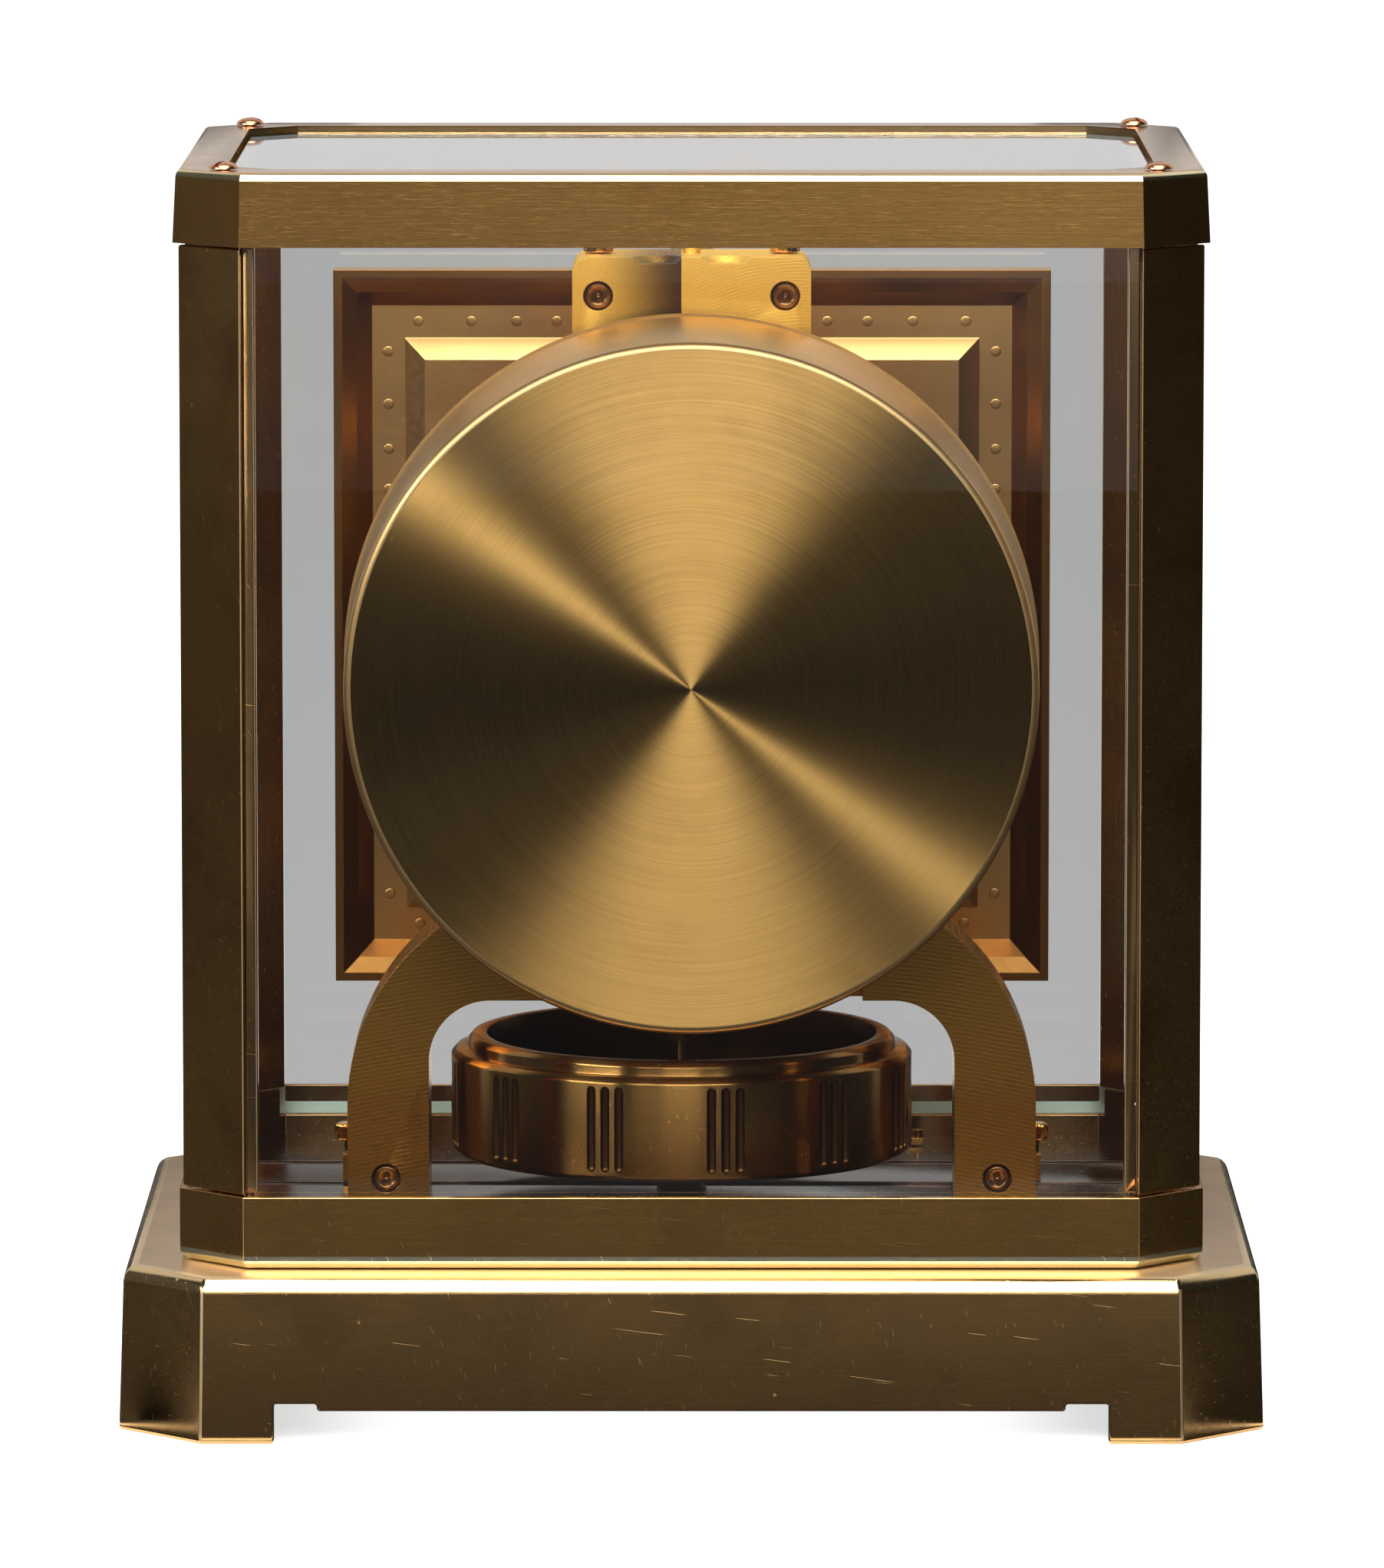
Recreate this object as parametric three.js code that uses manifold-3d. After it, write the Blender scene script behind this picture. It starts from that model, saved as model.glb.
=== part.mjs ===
// Atmospheric clock: a torsion pendulum movement in a glazed brass case.
// Millimetres, +Z up. The dial faces -Y and the drum faces +Y.
// The origin is the middle of the footprint, on the surface that the clock stands on.
import * as THREE from "three";
import { mergeVertices } from "three/addons/utils/BufferGeometryUtils.js";
import Module from "manifold-3d";

const wasm = await Module();
wasm.setup();

// Gaps and cutting allowances
const gap = 0.3;
const overrun = 1;

// Base casting on four bracket feet
const plinth = {
  width: 210,
  depth: 160,
  corner: 15.5,
  height: 30.5,
  draft: 0.9,
  edge: 3,
  wall: 4,
  roof: 3.5,
  footHeight: 7.3,
  apronHeight: 6,
  footLength: 13.4,
  stepLength: 7.9,
  bossRadius: 6.5,
  bossDrop: 13,
};

// Lower rim that carries the pillars and the glass
const rim = {
  width: 187.8,
  depth: 141.9,
  corner: 12.1,
  height: 13.2,
  chamfer: 1.3,
  lip: 1.55,
  groove: 3.8,
  backLip: 1.6,
  seatDrop: 5.6,
  backLipDrop: 5.2,
};

// Corner pillars, canted bars with a flange behind the glass
const pillar = {
  length: 173.1,
  inset: 0.5,
  flange: 2.5,
  flangeThickness: 2.4,
  screwDepth: 9,
};

// Top frame with its sunk glass
const topFrame = {
  overhang: 0.4,
  corner: 12.5,
  height: 13.4,
  draft: 0.6,
  edge: 1.4,
  borderX: 9.7,
  borderY: 11.35,
  windowCorner: 9,
  glassSink: 1.2,
  ledge: 3,
  fixedSlot: 4,
  liftSlot: 11.3,
};

const glass = { thickness: 3.2, topThickness: 3, bevel: 2.1, bevelDrop: 1.1 };
const frontLift = 6;

const caseScrew = {
  insetX: 9.1,
  insetY: 9.95,
  headRadius: 2.65,
  headHeight: 1.3,
  shankRadius: 1.2,
  slotWidth: 0.7,
  slotDepth: 0.7,
};

const knob = {
  drop: 11,
  radius: 4.2,
  length: 6.5,
  neckRadius: 1.6,
  washerRadius: 4,
  washerThickness: 1.2,
  grip: 2.2,
  faceShare: 0.7,
  shoulderShare: 0.75,
  waistShare: 0.35,
  collarShare: 0.15,
};

// Levelling screws, turned right up inside the base
const levelling = {
  sideInset: 21,
  frontInset: 20,
  rearInset: 22,
  discRadius: 8.5,
  discHeight: 3.6,
  discBottom: 7,
  stemRadius: 2.4,
  stemLength: 12,
  knurls: 18,
  knurlDepth: 0.5,
};

// Floor inside the case, in three shallow terraces
const floorPlate = { height: 3.2, terraceHeight: 0.5, midFront: -8.6, farFront: -30.5 };

const level = { y: -52, outerRadius: 8, height: 4, wall: 1.4, vialHeight: 2.6 };

const lockLever = {
  pivotX: -22,
  y: -50,
  reach: 22.5,
  width: 3,
  thickness: 1.2,
  pivotRadius: 3.2,
  pinRadius: 1,
  pinHeight: 1.6,
};

// Bridge that stands on two legs and carries the movement
const bridge = {
  width: 129.1,
  legWidth: 15.3,
  depth: 20,
  rearY: 11,
  springHeight: 18,
  outerRadius: 41.4,
  archHeight: 37.9,
  archRadius: 11.5,
  recessDepth: 6,
  recessLeft: -32,
  recessRight: 26.5,
  staffClearance: 1.6,
  footReach: 1.5,
  footDepth: 8,
  footHeight: 5,
};

const socketScrew = { headRadius: 2.5, headLength: 3, sink: 0.8, socketRadius: 1.3, socketDepth: 1.6 };
const legScrew = { inset: 7.2, height: 4.2 };

const clampKnob = {
  outset: 0.05,
  radius: 3,
  height: 3.4,
  neckRadius: 1.3,
  neckHeight: 2.2,
  knurls: 12,
  knurlDepth: 0.25,
};

// Movement plates and their pillars
const movementHeight = 136.4;
const plates = {
  thickness: 3,
  spacing: 17.7,
  halfWidth: 40,
  bottom: 74,
  top: 178,
  corner: 10,
  neckHalfWidth: 20,
  neckTop: 208,
  pillarRadius: 3.5,
  pillarX: 33,
  pillarFromPallet: 17.4,
  pillarLow: 84,
  pillarHigh: 170,
};

// Block that hangs the suspension
const block = {
  width: 44.4,
  height: 29,
  depth: 20,
  top: 211.4,
  round: 3,
  screwSpacing: 34.8,
  screwDrop: 7.2,
  dimpleSpacing: 12.8,
  dimpleRadius: 4.7,
  dimpleDepth: 1.2,
  topScrewX: 17.4,
  topScrewRadius: 2.8,
  topScrewHeight: 1.6,
  topScrewShank: 1.3,
  topScrewLength: 5,
  stopRadius: 1.65,
  stopHeight: 1.4,
};

const suspension = { x: 1.9, y: 3, tubeRadius: 2.6, tubeWall: 0.9, wireRadius: 0.3 };

// Torsion balance
const balance = {
  bottom: 42.8,
  height: 19.5,
  radius: 43.3,
  rimHeight: 2.7,
  rimRadius: 40.1,
  boreRadius: 36.6,
  bevel: 1,
  webBottom: 50,
  webThickness: 2.4,
  webRimWidth: 2.5,
  armCount: 3,
  armWidth: 9,
  hubRadius: 8,
  hubHeight: 4,
  staffRadius: 0.8,
  staffTop: 79,
  grooveGroups: 12,
  groovesInGroup: 3,
  grooveSpacing: 2.7,
  grooveRadius: 0.9,
  grooveDepth: 0.75,
  grooveMargin: 0.7,
  grooveAngle: 11,
};

const roller = { height: 67.5, thickness: 2, radius: 6, hubRadius: 2.2, hubHeight: 4 };
const restCup = { radius: 4.65, height: 6.5, boreRadius: 2.6, boreDepth: 2 };

// Drum that holds the bellows
const drum = {
  radius: 64.3,
  frontRadius: 63.5,
  mouthY: 13,
  faceY: 62,
  round: 4.5,
  wall: 1.2,
  bead: 0.5,
  beadWidth: 1,
};

const carrier = { y: 13.6, thickness: 3, openingRadius: 8, postRadius: 4, postX: 32, postZ: 22 };

const bellows = {
  radius: 50,
  valleyRadius: 42,
  folds: 4,
  depth: 24,
  discRadius: 36,
  discThickness: 2.4,
  rodRadius: 2.5,
};
const bellowsTravel = 3;
const counterSpring = { radius: 13.5, wireRadius: 0.9, turns: 6, stepsPerTurn: 14 };

// Wheel train. Every wheel has the same tooth size but the hour pair.
const tooth = {
  moduleSize: 0.75,
  hourModuleSize: 0.6,
  tipShare: 0.7,
  rootShare: 1,
  halfRootShare: 0.3,
  halfTipShare: 0.1,
  wheelThickness: 1.5,
};
const teeth = {
  barrel: 48,
  centrePinion: 8,
  centre: 40,
  thirdPinion: 20,
  third: 28,
  escapePinion: 14,
  escape: 15,
  cannon: 8,
  minute: 24,
  minutePinion: 8,
  hour: 32,
};
const arborRadius = { centre: 1.4, train: 1.1 };
const trainAngle = { barrel: 35, third: 240, escape: 300, minute: 180 };
const barrelDrum = { radius: 15, length: 8.5 };
const escapeRadius = 9;
const pallet = {
  below: 14.5,
  halfSpan: 6,
  nibWidth: 1,
  nibHeight: 6,
  crownHeight: 4.6,
  armWidth: 2.4,
  thickness: 1.4,
  tailWidth: 2.2,
  hubRadius: 3,
  pinRadius: 0.9,
};

// Distances of the wheels in front of the back plate's front face
const layer = { first: 3.6, second: 9.4, third: 14.4 };

// Dial, seen from behind as a pressed square tray
const dial = {
  half: 68.4,
  backY: -43,
  sheet: 1,
  edgeWidth: 1.6,
  coveWidth: 5.6,
  coveDepth: 6,
  bandWidth: 6.3,
  bevelWidth: 3.9,
  bevelRise: 3,
  holeRadius: 3,
  markerLength: 4.2,
  markerWidth: 2,
  markerHeight: 0.8,
  footRadius: 2.2,
  footX: 30,
  footZ: 30,
};

const hands = {
  hourLength: 34,
  hourWidth: 4,
  minuteLength: 49,
  minuteWidth: 3.2,
  tail: 9,
  thickness: 0.8,
  bossRadius: 4,
  pipeRadius: 2.6,
  spacing: 1,
  capRadius: 2.6,
  capHeight: 1.2,
};

// Derived heights
const rimBottom = plinth.height + gap;
const rimTop = rimBottom + rim.height;
const glassSeat = rimTop - rim.seatDrop;
const glassBottom = glassSeat + gap;
const topFrameBottom = rimTop + pillar.length + 2 * gap;
const caseTop = topFrameBottom + topFrame.height;
const floorTop = rimBottom + floorPlate.height;
const archTop = floorTop + bridge.archHeight;
const bridgeCrown = floorTop + bridge.springHeight + bridge.outerRadius;

// Derived depths
const bridgeFrontY = bridge.rearY - bridge.depth;
const backPlateY = bridgeFrontY - gap - plates.thickness;
const frontPlateY = backPlateY - plates.spacing - 2 * gap - plates.thickness;

// Materials
const finish = (color, roughness, metalness, opacity = 1) =>
  new THREE.MeshStandardMaterial({ color, roughness, metalness, opacity, transparent: opacity < 1 });
const caseBrass = finish(0xb08a4a, 0.32, 1);
const polishedBrass = finish(0xc39a55, 0.15, 1);
const movementBrass = finish(0xc9952f, 0.35, 1);
const drumBrass = finish(0xa88a55, 0.38, 1);
const dialGold = finish(0xc7a258, 0.45, 1);
const copper = finish(0xb06a45, 0.3, 1);
const steel = finish(0x8f9196, 0.3, 1);
const darkMetal = finish(0x3a3634, 0.3, 1);
const blackPaint = finish(0x16130f, 0.4, 0);
const clearGlass = finish(0xdfe6e2, 0.05, 0, 0.3);

const clock = new THREE.Group();

/** Adds one named piece to the clock. */
function addPiece(name, geometry, material, position = [0, 0, 0]) {
  const mesh = new THREE.Mesh(geometry, material);
  mesh.name = name;
  mesh.position.set(...position);
  clock.add(mesh);
  return mesh;
}

/** Turns a closed geometry into a solid that can be joined and cut. */
function solidOf(geometry) {
  const bare = geometry.clone();
  bare.deleteAttribute("normal");
  bare.deleteAttribute("uv");
  const welded = mergeVertices(bare, 1e-4);
  return new wasm.Manifold(
    new wasm.Mesh({
      numProp: 3,
      vertProperties: new Float32Array(welded.attributes.position.array),
      triVerts: new Uint32Array(welded.index.array),
    }),
  );
}

/** Turns a solid back into a geometry. */
function geometryOf(solid) {
  const mesh = solid.getMesh();
  const geometry = new THREE.BufferGeometry();
  geometry.setAttribute("position", new THREE.BufferAttribute(mesh.vertProperties, 3));
  geometry.setIndex(new THREE.BufferAttribute(mesh.triVerts, 1));
  geometry.computeVertexNormals();
  return geometry;
}

/** Joins geometries that overlap, then cuts others out of them. */
function shapeOf(parts, cutters = []) {
  const joined = parts.map(solidOf).reduce((whole, part) => whole.add(part));
  const cut = cutters.map(solidOf).reduce((whole, cutter) => whole.subtract(cutter), joined);
  return geometryOf(cut);
}

/** Box between two corners. */
function boxBetween(low, high) {
  const size = high.map((value, axis) => value - low[axis]);
  const middle = high.map((value, axis) => (value + low[axis]) / 2);
  return new THREE.BoxGeometry(...size).translate(...middle);
}

/** Upright cylinder between two heights. */
function postBetween(radius, x, y, bottom, top, segments = 20) {
  const post = new THREE.CylinderGeometry(radius, radius, top - bottom, segments);
  return post.rotateX(Math.PI / 2).translate(x, y, (bottom + top) / 2);
}

/** Cylinder that lies along Y, between two depths. */
function axleBetween(radius, x, z, nearY, farY, segments = 20) {
  const axle = new THREE.CylinderGeometry(radius, radius, Math.abs(farY - nearY), segments);
  return axle.translate(x, (nearY + farY) / 2, z);
}

/** Solid turned round the upright axis from a profile of [radius, height] points. */
function turnedUpright(profile, x, y, segments = 48) {
  const points = profile.map(([radius, height]) => new THREE.Vector2(radius, height));
  return new THREE.LatheGeometry(points, segments).rotateX(Math.PI / 2).translate(x, y, 0);
}

/** Solid turned round an axis along Y from a profile of [radius, y] points. */
function turnedAlongY(profile, x, z, segments = 48) {
  const points = profile.map(([radius, y]) => new THREE.Vector2(radius, y));
  return new THREE.LatheGeometry(points, segments).translate(x, 0, z);
}

/** Outline in X and Z extruded along Y between two depths, nearY below farY. */
function extrudedAlongY(shape, nearY, farY, curveSegments = 12) {
  const options = { depth: farY - nearY, bevelEnabled: false, curveSegments };
  return new THREE.ExtrudeGeometry(shape, options).rotateX(Math.PI / 2).translate(0, farY, 0);
}

/** Outline in X and Y extruded upwards between two heights. */
function extrudedUp(shape, bottom, top, curveSegments = 12) {
  const options = { depth: top - bottom, bevelEnabled: false, curveSegments };
  return new THREE.ExtrudeGeometry(shape, options).translate(0, 0, bottom);
}

/** Corner cut that stays parallel when an eight-sided outline shrinks by an inset. */
function shrunkCorner(corner, inset) {
  return corner - inset * (2 - Math.SQRT2);
}

/** Points of a rectangle with its four corners cut off. */
function cantedPoints(halfX, halfY, corner) {
  const flatX = halfX - corner;
  const flatY = halfY - corner;
  return [
    [flatX, -halfY],
    [halfX, -flatY],
    [halfX, flatY],
    [flatX, halfY],
    [-flatX, halfY],
    [-halfX, flatY],
    [-halfX, -flatY],
    [-flatX, -halfY],
  ];
}

/** Closed outline through a list of points. */
function outlineOf(points) {
  return new THREE.Shape(points.map(([x, y]) => new THREE.Vector2(x, y)));
}

/** Closed solid through stacked rings with the same number of points, lowest first. */
function stackedRings(rings) {
  const count = rings[0].points.length;
  const corners = rings.flatMap(({ points, height }) => points.map(([x, y]) => [x, y, height]));
  const triangles = [];
  for (let ring = 0; ring + 1 < rings.length; ring += 1) {
    for (let side = 0; side < count; side += 1) {
      const a = ring * count + side;
      const b = ring * count + ((side + 1) % count);
      triangles.push(a, b, b + count, a, b + count, a + count);
    }
  }
  const last = (rings.length - 1) * count;
  for (let side = 1; side + 1 < count; side += 1) {
    triangles.push(0, side + 1, side);
    triangles.push(last, last + side, last + side + 1);
  }
  const geometry = new THREE.BufferGeometry();
  geometry.setAttribute("position", new THREE.Float32BufferAttribute(corners.flat(), 3));
  geometry.setIndex(triangles);
  return geometry;
}

/** Eight-sided block whose sides lean in and whose top edge is rounded. */
function draftedBlock({ width, depth, corner, draft, edge }, bottom, top, steps = 5) {
  const ringAt = (inset, height) => ({
    points: cantedPoints(width / 2 - inset, depth / 2 - inset, shrunkCorner(corner, inset)),
    height,
  });
  const rings = [ringAt(0, bottom)];
  for (let step = 0; step <= steps; step += 1) {
    const angle = (step / steps) * (Math.PI / 2);
    const inset = draft + edge * (1 - Math.cos(angle));
    rings.push(ringAt(inset, top - edge + edge * Math.sin(angle)));
  }
  return stackedRings(rings);
}

/** Spur wheel outline in X and Z round its own middle, first tooth along +X turned by an angle. */
function wheelOutline(count, moduleSize, turn) {
  const pitchRadius = (count * moduleSize) / 2;
  const tipRadius = pitchRadius + moduleSize * tooth.tipShare;
  const rootRadius = pitchRadius - moduleSize * tooth.rootShare;
  const step = (2 * Math.PI) / count;
  const halfRoot = step * tooth.halfRootShare;
  const halfTip = step * tooth.halfTipShare;
  const points = [];
  for (let index = 0; index < count; index += 1) {
    const middle = turn + index * step;
    const rim = [
      [rootRadius, middle - halfRoot],
      [tipRadius, middle - halfTip],
      [tipRadius, middle + halfTip],
      [rootRadius, middle + halfRoot],
    ];
    rim.forEach(([radius, angle]) => points.push([radius * Math.cos(angle), radius * Math.sin(angle)]));
  }
  return outlineOf(points);
}

/** Spur wheel between two depths, moved to its arbor. */
function wheelBetween(count, moduleSize, turn, [x, z], nearY, farY) {
  return extrudedAlongY(wheelOutline(count, moduleSize, turn), nearY, farY).translate(x, 0, z);
}

/** Point at a distance and an angle in degrees from another, in X and Z. */
function polarPoint([x, z], distance, degrees) {
  const angle = THREE.MathUtils.degToRad(degrees);
  return [x + distance * Math.cos(angle), z + distance * Math.sin(angle)];
}

/** Turn that puts a tooth gap of the driven wheel over a tooth of its driver. */
function meshTurn(driverTurn, driverCount, drivenCount, degrees) {
  const angle = THREE.MathUtils.degToRad(degrees);
  const driverStep = (2 * Math.PI) / driverCount;
  const drivenStep = (2 * Math.PI) / drivenCount;
  const phase = (angle - driverTurn) / driverStep;
  const offset = phase - Math.round(phase);
  return angle + Math.PI + drivenStep / 2 + offset * drivenStep;
}

/** Knurled disc outline. */
function knurledOutline(radius, knurls, depth) {
  const points = [];
  for (let index = 0; index < 2 * knurls; index += 1) {
    const angle = (index * Math.PI) / knurls;
    const reach = index % 2 === 0 ? radius : radius - depth;
    points.push([reach * Math.cos(angle), reach * Math.sin(angle)]);
  }
  return outlineOf(points);
}

// Base casting: a hollow block with a roof, feet at its corners and bosses for the levelling screws
function levellingPlaces() {
  const halfSpread = plinth.width / 2 - levelling.sideInset;
  const frontY = levelling.frontInset - plinth.depth / 2;
  const rearY = plinth.depth / 2 - levelling.rearInset;
  return [
    [-halfSpread, frontY],
    [halfSpread, frontY],
    [0, rearY],
  ];
}

function plinthGeometry() {
  const { width, depth, corner, height, wall, roof } = plinth;
  const shell = draftedBlock(plinth, 0, height);
  const cavityTop = height - roof;
  const cavityPoints = cantedPoints(width / 2 - wall, depth / 2 - wall, shrunkCorner(corner, wall));
  const cavityTopPoints = cantedPoints(
    width / 2 - wall - plinth.draft,
    depth / 2 - wall - plinth.draft,
    shrunkCorner(corner, wall + plinth.draft),
  );
  const cavity = stackedRings([
    { points: cavityPoints, height: -overrun },
    { points: cavityTopPoints, height: cavityTop },
  ]);
  const footInnerX = width / 2 - corner - plinth.footLength;
  const footInnerY = depth / 2 - corner - plinth.footLength;
  const halfX = width / 2 + overrun;
  const halfY = depth / 2 + overrun;
  const notches = [
    boxBetween([-footInnerX, -halfY, -overrun], [footInnerX, halfY, plinth.apronHeight]),
    boxBetween([-halfX, -footInnerY, -overrun], [halfX, footInnerY, plinth.apronHeight]),
  ];
  for (const side of [-1, 1]) {
    const nearX = side * (footInnerX - plinth.stepLength);
    const farX = side * footInnerX;
    notches.push(
      boxBetween(
        [Math.min(nearX, farX), -halfY, -overrun],
        [Math.max(nearX, farX), halfY, plinth.footHeight],
      ),
    );
    const nearY = side * (footInnerY - plinth.stepLength);
    const farY = side * footInnerY;
    notches.push(
      boxBetween(
        [-halfX, Math.min(nearY, farY), -overrun],
        [halfX, Math.max(nearY, farY), plinth.footHeight],
      ),
    );
  }
  const hollow = shapeOf([shell], [cavity, ...notches]);
  const bosses = levellingPlaces().map(([x, y]) =>
    postBetween(plinth.bossRadius, x, y, cavityTop - plinth.bossDrop, cavityTop + overrun),
  );
  const bores = levellingPlaces().map(([x, y]) =>
    postBetween(levelling.stemRadius + gap, x, y, 0, cavityTop + overrun / 2),
  );
  return shapeOf([hollow, ...bosses], bores);
}

addPiece("plinth", plinthGeometry(), caseBrass);

levellingPlaces().forEach(([x, y], index) => {
  const discTop = levelling.discBottom + levelling.discHeight;
  const outline = knurledOutline(levelling.discRadius, levelling.knurls, levelling.knurlDepth);
  const disc = extrudedUp(outline, levelling.discBottom, discTop).translate(x, y, 0);
  const stemTop = discTop + levelling.stemLength;
  const stem = postBetween(levelling.stemRadius, x, y, discTop - overrun, stemTop);
  addPiece(`levelling_screw_${index + 1}`, shapeOf([disc, stem]), polishedBrass);
});

// Lower rim: a ring with a groove for each glass, open between the corners
const rimHalfX = rim.width / 2;
const rimHalfY = rim.depth / 2;
const rimWall = rim.lip + rim.groove + rim.backLip;
const grooveOuter = rim.lip;
const grooveInner = rim.lip + rim.groove;

const pillarHalfX = rimHalfX - pillar.inset;
const pillarHalfY = rimHalfY - pillar.inset;
const pillarCorner = shrunkCorner(rim.corner, pillar.inset);
const openingHalfX = pillarHalfX - pillarCorner;
const openingHalfY = pillarHalfY - pillarCorner;

/** Cutters for the four glass grooves, from a floor height up. */
function grooveCutters(floorHeight, backLipTop, top) {
  const cutters = [];
  for (const side of [-1, 1]) {
    const yOuter = side * (rimHalfY - grooveOuter);
    const yInner = side * (rimHalfY - grooveInner);
    const yOpen = side * (rimHalfY - rimWall - overrun);
    const xOuter = side * (rimHalfX - grooveOuter);
    const xInner = side * (rimHalfX - grooveInner);
    const xOpen = side * (rimHalfX - rimWall - overrun);
    const spans = [
      [yOuter, yInner, floorHeight],
      [yInner + side * overrun, yOpen, backLipTop],
    ];
    for (const [from, to, bottom] of spans) {
      cutters.push(
        boxBetween(
          [-openingHalfX, Math.min(from, to), bottom],
          [openingHalfX, Math.max(from, to), top],
        ),
      );
    }
    const sideSpans = [
      [xOuter, xInner, floorHeight],
      [xInner + side * overrun, xOpen, backLipTop],
    ];
    for (const [from, to, bottom] of sideSpans) {
      cutters.push(
        boxBetween(
          [Math.min(from, to), -openingHalfY, bottom],
          [Math.max(from, to), openingHalfY, top],
        ),
      );
    }
  }
  return cutters;
}

function lowerRimGeometry() {
  const ringAt = (inset, height) => ({
    points: cantedPoints(rimHalfX - inset, rimHalfY - inset, shrunkCorner(rim.corner, inset)),
    height,
  });
  const outer = stackedRings([
    ringAt(rim.chamfer, rimBottom),
    ringAt(0, rimBottom + rim.chamfer),
    ringAt(0, rimTop),
  ]);
  const inner = stackedRings([
    ringAt(rimWall, rimBottom - overrun),
    ringAt(rimWall, rimTop + overrun),
  ]);
  const cutters = grooveCutters(glassSeat, rimTop - rim.backLipDrop, rimTop + overrun);
  return shapeOf([outer], [inner, ...cutters]);
}

addPiece("lower_rim", lowerRimGeometry(), caseBrass);

// Floor plate inside the rim, a little higher towards the dial
function floorGeometry() {
  const inset = rimWall + gap;
  const halfX = rimHalfX - inset;
  const halfY = rimHalfY - inset;
  const corner = shrunkCorner(rim.corner, inset);
  const slab = (rearY, top) => {
    const whole = stackedRings([
      { points: cantedPoints(halfX, halfY, corner), height: rimBottom },
      { points: cantedPoints(halfX, halfY, corner), height: top },
    ]);
    const keep = boxBetween(
      [-halfX - overrun, -halfY - overrun, rimBottom - overrun],
      [halfX + overrun, rearY, top + overrun],
    );
    return geometryOf(solidOf(whole).intersect(solidOf(keep)));
  };
  return shapeOf([
    slab(halfY + overrun, floorTop),
    slab(floorPlate.midFront, floorTop + floorPlate.terraceHeight),
    slab(floorPlate.farFront, floorTop + 2 * floorPlate.terraceHeight),
  ]);
}

addPiece("floor_plate", floorGeometry(), darkMetal);
const midFloor = floorTop + floorPlate.terraceHeight;
const farFloor = floorTop + 2 * floorPlate.terraceHeight;

// Corner pillars
const screwX = rimHalfX - caseScrew.insetX;
const screwY = rimHalfY - caseScrew.insetY;
const pillarBottom = rimTop + gap;
const pillarTop = pillarBottom + pillar.length;

function pillarGeometry(sideX, sideY) {
  const behindGlassX = rimHalfX - grooveInner;
  const behindGlassY = rimHalfY - grooveInner;
  const flangeX = behindGlassX - pillar.flangeThickness;
  const flangeEndY = openingHalfY - pillar.flange;
  const flangeEndX = openingHalfX - pillar.flange;
  const points = [
    [openingHalfX, pillarHalfY],
    [openingHalfX, behindGlassY],
    [flangeEndX, behindGlassY],
    [flangeEndX, flangeX + flangeEndY - flangeEndX],
    [flangeX, flangeEndY],
    [behindGlassX, flangeEndY],
    [behindGlassX, openingHalfY],
    [pillarHalfX, openingHalfY],
  ];
  const placed = points.map(([x, y]) => [sideX * x, sideY * y]);
  const bar = extrudedUp(outlineOf(placed), pillarBottom, pillarTop);
  const bore = postBetween(
    caseScrew.shankRadius + gap,
    sideX * screwX,
    sideY * screwY,
    pillarTop - pillar.screwDepth,
    pillarTop + overrun,
    16,
  );
  return shapeOf([bar], [bore]);
}

const corners = [
  ["rear_left", -1, 1],
  ["rear_right", 1, 1],
  ["front_left", -1, -1],
  ["front_right", 1, -1],
];
for (const [place, sideX, sideY] of corners) {
  addPiece(`pillar_${place}`, pillarGeometry(sideX, sideY), polishedBrass);
}

// Top frame: a drafted ring with a sunk window and slots for the glass below
const topFrameSize = {
  ...topFrame,
  width: rim.width + 2 * topFrame.overhang,
  depth: rim.depth + 2 * topFrame.overhang,
};
const windowHalfX = topFrameSize.width / 2 - topFrame.borderX;
const windowHalfY = topFrameSize.depth / 2 - topFrame.borderY;

function topFrameGeometry() {
  const frame = draftedBlock(topFrameSize, topFrameBottom, caseTop, 4);
  const seat = caseTop - topFrame.glassSink - glass.topThickness - gap;
  const windowRing = (inset, height) => ({
    points: cantedPoints(
      windowHalfX - inset,
      windowHalfY - inset,
      shrunkCorner(topFrame.windowCorner, inset),
    ),
    height,
  });
  const windowCutter = stackedRings([windowRing(0, seat), windowRing(0, caseTop + overrun)]);
  const throughCutter = stackedRings([
    windowRing(topFrame.ledge, topFrameBottom - overrun),
    windowRing(topFrame.ledge, seat + overrun),
  ]);
  const slots = [];
  const slotBox = (low, high) => slots.push(boxBetween(low, high));
  const slotBottom = topFrameBottom - overrun;
  const fixedTop = topFrameBottom + topFrame.fixedSlot;
  const liftTop = topFrameBottom + topFrame.liftSlot;
  slotBox(
    [-openingHalfX, rimHalfY - grooveInner, slotBottom],
    [openingHalfX, rimHalfY - grooveOuter, fixedTop],
  );
  slotBox(
    [-openingHalfX, grooveOuter - rimHalfY, slotBottom],
    [openingHalfX, grooveInner - rimHalfY, liftTop],
  );
  slotBox(
    [rimHalfX - grooveInner, -openingHalfY, slotBottom],
    [rimHalfX - grooveOuter, openingHalfY, fixedTop],
  );
  slotBox(
    [grooveOuter - rimHalfX, -openingHalfY, slotBottom],
    [grooveInner - rimHalfX, openingHalfY, fixedTop],
  );
  const bores = corners.map(([, sideX, sideY]) =>
    postBetween(
      caseScrew.shankRadius + gap,
      sideX * screwX,
      sideY * screwY,
      topFrameBottom - overrun,
      caseTop + overrun,
      16,
    ),
  );
  return shapeOf([frame], [windowCutter, throughCutter, ...slots, ...bores]);
}

addPiece("top_frame", topFrameGeometry(), caseBrass);

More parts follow.
